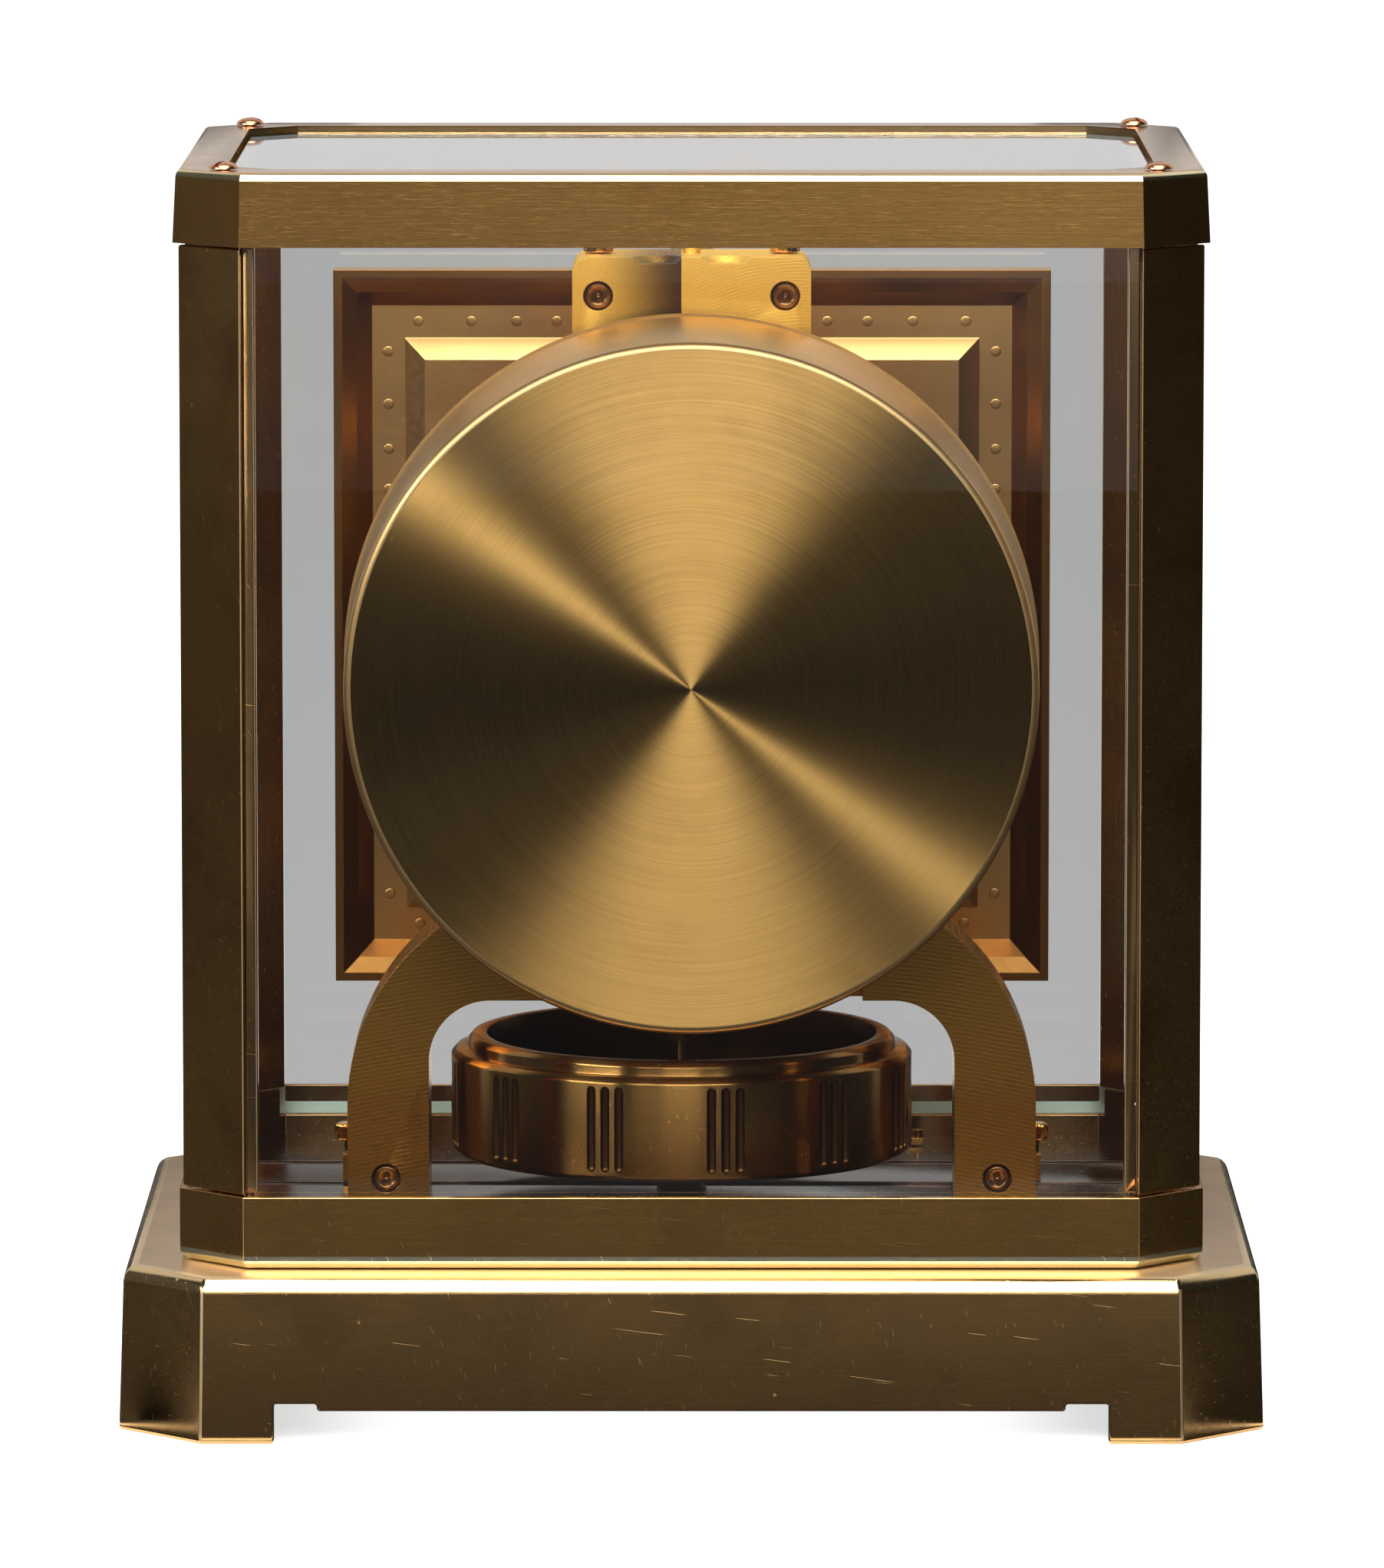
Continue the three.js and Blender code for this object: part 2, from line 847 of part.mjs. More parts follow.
function topGlassGeometry() {
  const halfX = windowHalfX - gap;
  const halfY = windowHalfY - gap;
  const corner = shrunkCorner(topFrame.windowCorner, gap);
  const top = caseTop - topFrame.glassSink;
  return stackedRings([
    { points: cantedPoints(halfX, halfY, corner), height: top - glass.topThickness },
    { points: cantedPoints(halfX, halfY, corner), height: top },
  ]);
}

addPiece("top_glass", topGlassGeometry(), clearGlass);

/** Domed screw with a slot, head up, standing on a height. */
function domedScrewGeometry(x, y, seat, shankLength, slotAngle) {
  const { headRadius, headHeight, shankRadius, slotWidth, slotDepth } = caseScrew;
  const profile = [
    [0, seat - shankLength],
    [shankRadius, seat - shankLength],
    [shankRadius, seat],
    [headRadius, seat],
  ];
  const domeSteps = 3;
  for (let step = 1; step <= domeSteps; step += 1) {
    const angle = (step / domeSteps) * (Math.PI / 2);
    const reach = step === domeSteps ? 0 : headRadius * Math.cos(angle);
    profile.push([reach, seat + headHeight * Math.sin(angle)]);
  }
  const screw = turnedUpright(profile, 0, 0, 16);
  const top = seat + headHeight;
  const slot = boxBetween(
    [-headRadius - overrun, -slotWidth / 2, top - slotDepth],
    [headRadius + overrun, slotWidth / 2, top + overrun],
  ).rotateZ(slotAngle);
  return shapeOf([screw], [slot]).translate(x, y, 0);
}

const topScrewTurnShare = [0.05, 0.3, 0.62, 0.9];
corners.forEach(([place, sideX, sideY], index) => {
  const shank = topFrame.height + gap + pillar.screwDepth / 2;
  const angle = topScrewTurnShare[index] * Math.PI;
  const screw = domedScrewGeometry(sideX * screwX, sideY * screwY, caseTop + gap, shank + gap, angle);
  addPiece(`top_screw_${place}`, screw, copper);
});

// Fixed glass in the rear and sides
const glassOuterY = rimHalfY - grooveOuter - gap;
const glassInnerY = glassOuterY - glass.thickness;
const glassOuterX = rimHalfX - grooveOuter - gap;
const glassInnerX = glassOuterX - glass.thickness;
const fixedGlassTop = topFrameBottom + topFrame.fixedSlot - gap;
const glassHalfX = openingHalfX - gap;
const glassHalfY = openingHalfY - gap;

addPiece(
  "rear_glass",
  boxBetween([-glassHalfX, glassInnerY, glassBottom], [glassHalfX, glassOuterY, fixedGlassTop]),
  clearGlass,
);
for (const [name, side] of [["left", -1], ["right", 1]]) {
  const xs = [side * glassInnerX, side * glassOuterX];
  addPiece(
    `side_glass_${name}`,
    boxBetween(
      [Math.min(...xs), -glassHalfY, glassBottom],
      [Math.max(...xs), glassHalfY, fixedGlassTop],
    ),
    clearGlass,
  );
}

// Front glass: a bevelled pane that lifts in its slot, with a knob near its top edge
const frontGlassTop = topFrameBottom + topFrame.liftSlot - gap - frontLift;
const knobHeight = topFrameBottom - knob.drop;

function frontGlassGeometry() {
  const halfHeight = (frontGlassTop - glassBottom) / 2;
  const middle = (frontGlassTop + glassBottom) / 2;
  const ringAt = (inset, depth) => ({
    points: cantedPoints(glassHalfX - inset, halfHeight - inset, gap),
    height: depth,
  });
  const pane = stackedRings([
    ringAt(0, 0),
    ringAt(0, glass.thickness - glass.bevelDrop),
    ringAt(glass.bevel, glass.thickness),
  ]);
  const placed = pane.rotateX(Math.PI / 2).translate(0, -glassInnerY, middle);
  const hole = axleBetween(
    knob.neckRadius + gap,
    0,
    knobHeight,
    -glassOuterY - overrun,
    overrun - glassInnerY,
  );
  return shapeOf([placed], [hole]);
}

addPiece("front_glass", frontGlassGeometry(), clearGlass);

const knobFootY = -glassOuterY - gap;
const knobCollarRadius = (knob.radius + knob.neckRadius) / 2;
const knobProfile = [
  [0, knobFootY - knob.length],
  [knob.radius * knob.faceShare, knobFootY - knob.length],
  [knob.radius, knobFootY - knob.length * knob.shoulderShare],
  [knob.radius, knobFootY - knob.length * knob.waistShare],
  [knobCollarRadius, knobFootY - knob.length * knob.collarShare],
  [knobCollarRadius, knobFootY],
  [knob.neckRadius, knobFootY],
  [knob.neckRadius, knob.grip - glassInnerY],
  [0, knob.grip - glassInnerY],
];
addPiece("front_knob", turnedAlongY(knobProfile, 0, knobHeight, 24), polishedBrass);

const washer = axleBetween(
  knob.washerRadius,
  0,
  knobHeight,
  gap - glassInnerY,
  gap + knob.washerThickness - glassInnerY,
);
const washerHole = axleBetween(
  knob.neckRadius + gap,
  0,
  knobHeight,
  -glassInnerY - overrun,
  knob.grip + overrun - glassInnerY,
);
addPiece("front_knob_nut", shapeOf([washer], [washerHole]), steel);

// Round level let into the front of the floor
const levelBottom = farFloor + gap;
function levelHousingGeometry() {
  const body = postBetween(level.outerRadius, 0, level.y, levelBottom, levelBottom + level.height, 32);
  const well = postBetween(
    level.outerRadius - level.wall,
    0,
    level.y,
    levelBottom + level.height - level.vialHeight - gap,
    levelBottom + level.height + overrun,
    32,
  );
  return shapeOf([body], [well]);
}
addPiece("level_housing", levelHousingGeometry(), polishedBrass);
addPiece(
  "level_vial",
  postBetween(
    level.outerRadius - level.wall - gap,
    0,
    level.y,
    levelBottom + level.height - level.vialHeight,
    levelBottom + level.height,
    32,
  ),
  clearGlass,
);

// Lever that locks the balance for carrying
function lockLeverGeometry() {
  const bottom = farFloor + gap;
  const top = bottom + lockLever.thickness;
  const tip = lockLever.pivotX - lockLever.reach;
  const arm = boxBetween(
    [tip, lockLever.y - lockLever.width / 2, bottom],
    [lockLever.pivotX, lockLever.y + lockLever.width / 2, top],
  );
  const boss = postBetween(lockLever.pivotRadius, lockLever.pivotX, lockLever.y, bottom, top);
  const pin = postBetween(
    lockLever.pinRadius,
    tip + lockLever.pinRadius,
    lockLever.y,
    bottom + lockLever.thickness / 2,
    top + lockLever.pinHeight,
    16,
  );
  return shapeOf([arm, boss, pin]);
}
addPiece("lock_lever", lockLeverGeometry(), polishedBrass);

// Bridge on two legs
const bridgeHalf = bridge.width / 2;
const legInner = bridgeHalf - bridge.legWidth;
const springLine = floorTop + bridge.springHeight;
const legFoot = midFloor + gap;

function bridgeOutline() {
  const shape = new THREE.Shape();
  const arcX = bridgeHalf - bridge.outerRadius;
  const cornerX = legInner - bridge.archRadius;
  const cornerZ = archTop - bridge.archRadius;
  shape.moveTo(bridgeHalf, floorTop + gap);
  shape.lineTo(bridgeHalf, springLine);
  shape.absarc(arcX, springLine, bridge.outerRadius, 0, Math.PI / 2, false);
  shape.absarc(-arcX, springLine, bridge.outerRadius, Math.PI / 2, Math.PI, false);
  shape.lineTo(-bridgeHalf, floorTop + gap);
  shape.lineTo(-legInner, floorTop + gap);
  shape.lineTo(-legInner, cornerZ);
  shape.absarc(-cornerX, cornerZ, bridge.archRadius, Math.PI, Math.PI / 2, true);
  shape.absarc(cornerX, cornerZ, bridge.archRadius, Math.PI / 2, 0, true);
  shape.lineTo(legInner, floorTop + gap);
  return shape;
}

/** Socket-headed screw sunk in a face that looks along +Y, its head flush below the face. */
function socketScrewGeometry(x, z, faceY) {
  const { headRadius, headLength, sink, socketRadius, socketDepth } = socketScrew;
  const headFace = faceY - sink;
  const profile = [
    [0, headFace - headLength],
    [headRadius, headFace - headLength],
    [headRadius, headFace],
    [socketRadius, headFace],
    [socketRadius, headFace - socketDepth],
    [0, headFace - socketDepth],
  ];
  return turnedAlongY(profile, x, z, 20);
}

/** Cutter that leaves room for a sunk screw. */
function socketScrewPocket(x, z, faceY) {
  const { headRadius, headLength, sink } = socketScrew;
  return axleBetween(headRadius + gap, x, z, faceY - sink - headLength - gap, faceY + overrun, 20);
}

const clampKnobX = bridgeHalf + clampKnob.outset;
const legScrewX = bridgeHalf - legScrew.inset;
const legScrewZ = floorTop + legScrew.height;

function bridgeGeometry() {
  const arch = extrudedAlongY(bridgeOutline(), bridgeFrontY, bridge.rearY, 12);
  const feet = [-1, 1].map((side) => {
    const xs = [side * (legInner + bridge.footReach), side * (bridgeHalf + bridge.footReach)];
    return boxBetween(
      [Math.min(...xs), bridgeFrontY - bridge.footDepth, legFoot],
      [Math.max(...xs), bridgeFrontY + overrun, legFoot + bridge.footHeight],
    );
  });
  const terraceClearance = boxBetween(
    [-bridgeHalf - overrun, bridgeFrontY - bridge.footDepth - overrun, floorTop - overrun],
    [bridgeHalf + overrun, floorPlate.midFront + gap, legFoot],
  );
  const recess = boxBetween(
    [bridge.recessLeft, bridge.rearY - bridge.recessDepth, archTop - overrun],
    [bridge.recessRight, bridge.rearY + overrun, bridgeCrown + overrun],
  );
  const staffBore = postBetween(
    suspension.tubeRadius + bridge.staffClearance,
    suspension.x,
    suspension.y,
    archTop - overrun,
    bridgeCrown + overrun,
  );
  const pockets = [-1, 1].map((side) => socketScrewPocket(side * legScrewX, legScrewZ, bridge.rearY));
  const clampBores = [-1, 1].map((side) =>
    postBetween(
      clampKnob.neckRadius + gap,
      side * clampKnobX,
      bridgeFrontY - bridge.footDepth / 2,
      legFoot + bridge.footHeight / 2,
      legFoot + bridge.footHeight + overrun,
      16,
    ),
  );
  return shapeOf([arch, ...feet], [terraceClearance, recess, staffBore, ...pockets, ...clampBores]);
}

addPiece("movement_bridge", bridgeGeometry(), movementBrass);
for (const [name, side] of [["left", -1], ["right", 1]]) {
  const legScrewPiece = socketScrewGeometry(side * legScrewX, legScrewZ, bridge.rearY);
  addPiece(`leg_screw_${name}`, legScrewPiece, movementBrass);
  const headBottom = legFoot + bridge.footHeight + clampKnob.neckHeight;
  const outline = knurledOutline(clampKnob.radius, clampKnob.knurls, clampKnob.knurlDepth);
  const head = extrudedUp(outline, headBottom, headBottom + clampKnob.height);
  const neckBottom = legFoot + bridge.footHeight / 2 + gap;
  const neck = postBetween(clampKnob.neckRadius, 0, 0, neckBottom, headBottom + overrun, 16);
  const place = [side * clampKnobX, bridgeFrontY - bridge.footDepth / 2, 0];
  addPiece(`clamp_knob_${name}`, shapeOf([head, neck]), polishedBrass, place);
}

// Arbor places in X and Z
const centrePlace = [0, movementHeight];
const meshDistance = (driver, driven) => ((driver + driven) * tooth.moduleSize) / 2;
const barrelDistance = meshDistance(teeth.barrel, teeth.centrePinion);
const thirdDistance = meshDistance(teeth.centre, teeth.thirdPinion);
const escapeDistance = meshDistance(teeth.third, teeth.escapePinion);
const minuteDistance = meshDistance(teeth.cannon, teeth.minute);
const barrelPlace = polarPoint(centrePlace, barrelDistance, trainAngle.barrel);
const thirdPlace = polarPoint(centrePlace, thirdDistance, trainAngle.third);
const escapePlace = polarPoint(thirdPlace, escapeDistance, trainAngle.escape);
const minutePlace = polarPoint(centrePlace, minuteDistance, trainAngle.minute);
const palletPlace = [escapePlace[0], escapePlace[1] - pallet.below];
const palletTail = palletPlace[1] - roller.height - roller.thickness / 2 + pallet.pinRadius;

// Movement plates
const backPlateFront = backPlateY;
const backPlateRear = backPlateY + plates.thickness;
const frontPlateRear = frontPlateY + plates.thickness;
const carrierPosts = [-1, 1].flatMap((sideX) =>
  [-1, 1].map((sideZ) => [sideX * carrier.postX, movementHeight + sideZ * carrier.postZ]),
);

function plateOutline(withNeck) {
  const { halfWidth, bottom, top, corner, neckHalfWidth, neckTop } = plates;
  const shape = new THREE.Shape();
  shape.moveTo(-halfWidth, bottom);
  shape.lineTo(halfWidth, bottom);
  shape.lineTo(halfWidth, top - corner);
  shape.lineTo(halfWidth - corner, top);
  if (withNeck) {
    shape.lineTo(neckHalfWidth, top);
    shape.lineTo(neckHalfWidth, neckTop);
    shape.lineTo(-neckHalfWidth, neckTop);
    shape.lineTo(-neckHalfWidth, top);
  }
  shape.lineTo(corner - halfWidth, top);
  shape.lineTo(-halfWidth, top - corner);
  return shape;
}

function arborBores(nearY, farY, places, radius) {
  return places.map(([x, z]) => axleBetween(radius + gap, x, z, nearY - overrun, farY + overrun, 16));
}

const trainPlaces = [barrelPlace, thirdPlace, escapePlace, palletPlace];
addPiece(
  "back_plate",
  shapeOf(
    [extrudedAlongY(plateOutline(true), backPlateFront, backPlateRear)],
    arborBores(backPlateFront, backPlateRear, [centrePlace, ...trainPlaces], arborRadius.centre),
  ),
  movementBrass,
);
const [minuteX, minuteZ] = minutePlace;
const cannonFar = frontPlateY - 2 * gap;
const cannonNear = cannonFar - tooth.wheelThickness;
const hourWheelFar = cannonNear - 2 * gap - tooth.wheelThickness / 2;
const hourWheelNear = hourWheelFar - tooth.wheelThickness;
addPiece(
  "front_plate",
  shapeOf(
    [
      extrudedAlongY(plateOutline(false), frontPlateY, frontPlateRear),
      axleBetween(arborRadius.train, minuteX, minuteZ, hourWheelNear, frontPlateY + overrun, 16),
    ],
    arborBores(frontPlateY, frontPlateRear, [centrePlace, ...trainPlaces], arborRadius.centre),
  ),
  movementBrass,
);

const platePillarPlaces = [
  [-plates.pillarX, plates.pillarHigh],
  [plates.pillarX, plates.pillarHigh],
  [palletPlace[0] + plates.pillarFromPallet, plates.pillarLow],
];
platePillarPlaces.forEach(([x, z], index) => {
  addPiece(
    `plate_pillar_${index + 1}`,
    axleBetween(plates.pillarRadius, x, z, frontPlateRear + gap, backPlateFront - gap),
    polishedBrass,
  );
});

// Suspension block at the top, with its screws
const blockRearY = bridge.rearY;
const blockFrontY = blockRearY - block.depth;
const blockBottom = block.top - block.height;
const blockMiddleY = (blockFrontY + blockRearY) / 2;
const blockScrewZ = block.top - block.screwDrop;

function blockGeometry() {
  const halfX = block.width / 2;
  const { round } = block;
  const outline = new THREE.Shape();
  outline.moveTo(-halfX, blockBottom);
  outline.lineTo(halfX, blockBottom);
  outline.lineTo(halfX, block.top - round);
  outline.absarc(halfX - round, block.top - round, round, 0, Math.PI / 2, false);
  outline.absarc(round - halfX, block.top - round, round, Math.PI / 2, Math.PI, false);
  const body = extrudedAlongY(outline, blockFrontY, blockRearY, 4);
  const stop = postBetween(
    block.stopRadius,
    0,
    blockMiddleY,
    block.top - overrun,
    block.top + block.stopHeight,
    16,
  );
  const topBores = [-1, 1].map((side) =>
    postBetween(
      block.topScrewShank + gap,
      side * block.topScrewX,
      blockMiddleY,
      block.top - block.topScrewLength - gap,
      block.top + overrun,
      16,
    ),
  );
  const dimples = [-1, 1].map((side) => {
    const cone = new THREE.CylinderGeometry(
      block.dimpleRadius + block.dimpleDepth,
      block.dimpleRadius - block.dimpleDepth,
      2 * block.dimpleDepth,
      24,
    );
    return cone.rotateX(Math.PI / 2).translate((side * block.dimpleSpacing) / 2, blockRearY, block.top);
  });
  const pockets = [-1, 1].map((side) =>
    socketScrewPocket((side * block.screwSpacing) / 2, blockScrewZ, blockRearY),
  );
  const wireBore = postBetween(
    suspension.tubeRadius + gap,
    suspension.x,
    suspension.y,
    blockBottom - overrun,
    blockBottom + block.height / 2,
    20,
  );
  return shapeOf([body, stop], [...dimples, ...pockets, ...topBores, wireBore]);
}

addPiece("suspension_block", blockGeometry(), movementBrass);
for (const [name, side] of [["left", -1], ["right", 1]]) {
  const x = (side * block.screwSpacing) / 2;
  addPiece(`block_screw_${name}`, socketScrewGeometry(x, blockScrewZ, blockRearY), movementBrass);
  const headBottom = block.top + gap;
  const topScrew = turnedUpright(
    [
      [0, block.top - block.topScrewLength],
      [block.topScrewShank, block.top - block.topScrewLength],
      [block.topScrewShank, headBottom],
      [block.topScrewRadius, headBottom],
      [block.topScrewRadius, headBottom + block.topScrewHeight],
      [0, headBottom + block.topScrewHeight],
    ],
    side * block.topScrewX,
    blockMiddleY,
    20,
  );
  addPiece(`block_top_screw_${name}`, topScrew, movementBrass);
}

// Suspension tube and the torsion wire inside it
const tubeTop = blockBottom + block.height / 2 - gap;
const tubeBottom = archTop + bridge.staffClearance;
function tubeGeometry() {
  const inner = suspension.tubeRadius - suspension.tubeWall;
  const outside = postBetween(suspension.tubeRadius, suspension.x, suspension.y, tubeBottom, tubeTop, 20);
  const bore = postBetween(inner, suspension.x, suspension.y, tubeBottom - overrun, tubeTop + overrun, 20);
  return shapeOf([outside], [bore]);
}
addPiece("suspension_tube", tubeGeometry(), movementBrass);

const wireBottom = balance.staffTop + gap;
addPiece(
  "torsion_wire",
  postBetween(suspension.wireRadius, suspension.x, suspension.y, wireBottom, tubeTop, 8),
  steel,
);

// Balance ring with its grooves
const balanceTop = balance.bottom + balance.height;
function balanceRingGeometry() {
  const { bottom, radius, rimHeight, rimRadius, boreRadius, bevel } = balance;
  const profile = [
    [boreRadius, bottom],
    [radius - bevel, bottom],
    [radius, bottom + bevel],
    [radius, balanceTop - bevel],
    [radius - bevel, balanceTop],
    [rimRadius, balanceTop],
    [rimRadius, balanceTop + rimHeight - bevel],
    [rimRadius - bevel, balanceTop + rimHeight],
    [boreRadius, balanceTop + rimHeight],
    [boreRadius, bottom],
  ];
  const ring = turnedUpright(profile, 0, 0, 60);
  const bottomEnd = bottom + balance.grooveMargin + bevel;
  const topEnd = balanceTop - balance.grooveMargin - bevel;
  const cutters = [];
  const pitchAngle = balance.grooveSpacing / radius;
  for (let group = 0; group < balance.grooveGroups; group += 1) {
    const groupTurn = (group * 2 * Math.PI) / balance.grooveGroups;
    const groupAngle = THREE.MathUtils.degToRad(balance.grooveAngle) + groupTurn;
    for (let groove = 0; groove < balance.groovesInGroup; groove += 1) {
      const angle = groupAngle + (groove - (balance.groovesInGroup - 1) / 2) * pitchAngle;
      const reach = radius + balance.grooveRadius - balance.grooveDepth;
      cutters.push(
        postBetween(
          balance.grooveRadius,
          reach * Math.cos(angle),
          reach * Math.sin(angle),
          bottomEnd,
          topEnd,
          8,
        ),
      );
    }
  }
  return shapeOf([ring], cutters).translate(suspension.x, suspension.y, 0);
}
addPiece("balance_ring", balanceRingGeometry(), polishedBrass);

function balanceSpiderGeometry() {
  const { boreRadius, webBottom, webThickness, webRimWidth } = balance;
  const { armCount, armWidth, hubRadius, hubHeight } = balance;
  const outer = boreRadius - gap;
  const webTop = webBottom + webThickness;
  const band = turnedUpright(
    [
      [outer - webRimWidth, webBottom],
      [outer, webBottom],
      [outer, webTop],
      [outer - webRimWidth, webTop],
      [outer - webRimWidth, webBottom],
    ],
    0,
    0,
  );
  const arms = [];
  for (let arm = 0; arm < armCount; arm += 1) {
    arms.push(
      boxBetween([0, -armWidth / 2, webBottom], [outer - webRimWidth / 2, armWidth / 2, webTop]).rotateZ(
        Math.PI / 2 + (arm * 2 * Math.PI) / armCount,
      ),
    );
  }
  const hub = postBetween(hubRadius, 0, 0, webBottom - hubHeight / 2, webTop + hubHeight / 2, 24);
  const staff = postBetween(balance.staffRadius, 0, 0, webBottom - hubHeight, balance.staffTop, 12);
  return shapeOf([band, ...arms, hub, staff]).translate(suspension.x, suspension.y, 0);
}
addPiece("balance_spider", balanceSpiderGeometry(), movementBrass);

const rollerProfile = [
  [balance.staffRadius + gap, roller.height - roller.hubHeight],
  [roller.hubRadius, roller.height - roller.hubHeight],
  [roller.hubRadius, roller.height],
  [roller.radius, roller.height],
  [roller.radius, roller.height + roller.thickness],
  [balance.staffRadius + gap, roller.height + roller.thickness],
  [balance.staffRadius + gap, roller.height - roller.hubHeight],
];
addPiece("impulse_roller", turnedUpright(rollerProfile, suspension.x, suspension.y, 24), movementBrass);

function restCupGeometry() {
  const bottom = floorTop + gap;
  const top = bottom + restCup.height;
  const cup = postBetween(restCup.radius, suspension.x, suspension.y, bottom, top);
  const boreBottom = top - restCup.boreDepth;
  const bore = postBetween(restCup.boreRadius, suspension.x, suspension.y, boreBottom, top + overrun);
  return shapeOf([cup], [bore]);
}
addPiece("balance_rest_cup", restCupGeometry(), darkMetal);

// Drum, open towards the movement
function drumGeometry() {
  const { radius, frontRadius, mouthY, faceY, round, wall, bead, beadWidth } = drum;
  const outside = [
    [radius - wall, mouthY],
    [radius + bead, mouthY],
    [radius + bead, mouthY + beadWidth],
    [radius, mouthY + beadWidth],
  ];
  const inside = [];
  const steps = 4;
  for (let step = 0; step <= steps; step += 1) {
    const angle = (step / steps) * (Math.PI / 2);
    outside.push([frontRadius - round + round * Math.cos(angle), faceY - round + round * Math.sin(angle)]);
    inside.push([
      frontRadius - round + (round - wall) * Math.cos(angle),
      faceY - round + (round - wall) * Math.sin(angle),
    ]);
  }
  const profile = [
    ...outside,
    [0, faceY],
    [0, faceY - wall],
    ...inside.reverse(),
    [radius - wall, mouthY],
  ];
  return turnedAlongY(profile, 0, movementHeight, 72);
}
addPiece("bellows_drum", drumGeometry(), drumBrass);

function carrierGeometry() {
  const outer = drum.radius - drum.wall - gap - drum.bead;
  const far = carrier.y + carrier.thickness;
  const disc = axleBetween(outer, 0, movementHeight, carrier.y, far, 64);
  const near = carrier.y - overrun;
  const opening = axleBetween(carrier.openingRadius, 0, movementHeight, near, far + overrun, 32);
  const posts = carrierPosts.map(([x, z]) =>
    axleBetween(carrier.postRadius, x, z, backPlateRear + gap, carrier.y + overrun),
  );
  return shapeOf([disc, ...posts], [opening]);
}
addPiece("drum_carrier", carrierGeometry(), movementBrass);

// Bellows capsule, its moving disc and the counter spring
const capsuleRearY = drum.faceY - drum.wall - gap;
const capsuleFrontY = capsuleRearY - bellows.depth;
function bellowsGeometry() {
  const profile = [[0, capsuleFrontY]];
  const foldDepth = bellows.depth / bellows.folds;
  for (let fold = 0; fold < bellows.folds; fold += 1) {
    const start = capsuleFrontY + fold * foldDepth;
    profile.push([bellows.valleyRadius, start]);
    profile.push([bellows.radius, start + foldDepth / 2]);
  }
  profile.push([bellows.valleyRadius, capsuleRearY], [0, capsuleRearY]);
  return turnedAlongY(profile, 0, movementHeight, 40);
}
addPiece("bellows_capsule", bellowsGeometry(), copper);

const discRearY = capsuleFrontY - gap;
const discFrontY = discRearY - bellows.discThickness;
const rodFrontY = carrier.y - bellowsTravel;
addPiece(
  "bellows_push_rod",
  shapeOf([
    axleBetween(bellows.discRadius, 0, movementHeight, discFrontY, discRearY, 40),
    axleBetween(bellows.rodRadius, 0, movementHeight, rodFrontY, discFrontY + overrun, 20),
  ]),
  steel,
);

function counterSpringGeometry() {
  const { radius, wireRadius, turns, stepsPerTurn } = counterSpring;
  const nearY = carrier.y + carrier.thickness + gap + wireRadius;
  const farY = discFrontY - gap - wireRadius;
  const steps = turns * stepsPerTurn;
  const centres = [];
  for (let step = 0; step <= steps; step += 1) {
    const share = step / steps;
    const angle = share * turns * 2 * Math.PI;
    centres.push(
      new THREE.Vector3(
        radius * Math.cos(angle),
        nearY + share * (farY - nearY),
        movementHeight + radius * Math.sin(angle),
      ),
    );
  }
  const section = new THREE.Shape().absarc(0, 0, wireRadius, 0, 2 * Math.PI, false);
  const extrudePath = new THREE.CatmullRomCurve3(centres);
  return new THREE.ExtrudeGeometry(section, { steps, extrudePath, bevelEnabled: false, curveSegments: 3 });
}
addPiece("counter_spring", counterSpringGeometry(), steel);

// Wheel train between the plates
const wheelNear = (depth) => backPlateFront - depth - tooth.wheelThickness;
const wheelFar = (depth) => backPlateFront - depth;
const arborBetween = (radius, place) =>
  axleBetween(radius, place[0], place[1], frontPlateY, backPlateRear, 16);

const centrePinionTurn = meshTurn(0, teeth.barrel, teeth.centrePinion, trainAngle.barrel + 180);
const thirdPinionTurn = meshTurn(0, teeth.centre, teeth.thirdPinion, trainAngle.third);
const escapePinionTurn = meshTurn(0, teeth.third, teeth.escapePinion, trainAngle.escape);

addPiece(
  "mainspring_barrel",
  shapeOf([
    wheelBetween(
      teeth.barrel,
      tooth.moduleSize,
      0,
      barrelPlace,
      wheelNear(layer.first),
      wheelFar(layer.first),
    ),
    axleBetween(
      barrelDrum.radius,
      barrelPlace[0],
      barrelPlace[1],
      wheelNear(layer.first) - barrelDrum.length,
      wheelNear(layer.first) + overrun,
      32,
    ),
    arborBetween(arborRadius.train, barrelPlace),
  ]),
  movementBrass,
);

const hourHandFar = dial.backY - dial.coveDepth - dial.sheet - dial.markerHeight;
const hourHandNear = hourHandFar - hands.thickness;
const minuteHandFar = hourHandNear - hands.spacing;
const minuteHandNear = minuteHandFar - hands.thickness;
addPiece(
  "centre_wheel",
  shapeOf([
    wheelBetween(
      teeth.centre,
      tooth.moduleSize,
      0,
      centrePlace,
      wheelNear(layer.third),
      wheelFar(layer.third),
    ),
    wheelBetween(
      teeth.centrePinion,
      tooth.moduleSize,
      centrePinionTurn,
      centrePlace,
      wheelNear(layer.first),
      wheelFar(layer.first),
    ),
    wheelBetween(teeth.cannon, tooth.moduleSize, 0, centrePlace, cannonNear, cannonFar),
    axleBetween(arborRadius.centre, centrePlace[0], centrePlace[1], minuteHandNear, backPlateRear, 16),
  ]),
  movementBrass,
);

addPiece(
  "third_wheel",
  shapeOf([
    wheelBetween(
      teeth.thirdPinion,
      tooth.moduleSize,
      thirdPinionTurn,
      thirdPlace,
      wheelNear(layer.third),
      wheelFar(layer.third),
    ),
    wheelBetween(
      teeth.third,
      tooth.moduleSize,
      0,
      thirdPlace,
      wheelNear(layer.second),
      wheelFar(layer.second),
    ),
    arborBetween(arborRadius.train, thirdPlace),
  ]),
  movementBrass,
);

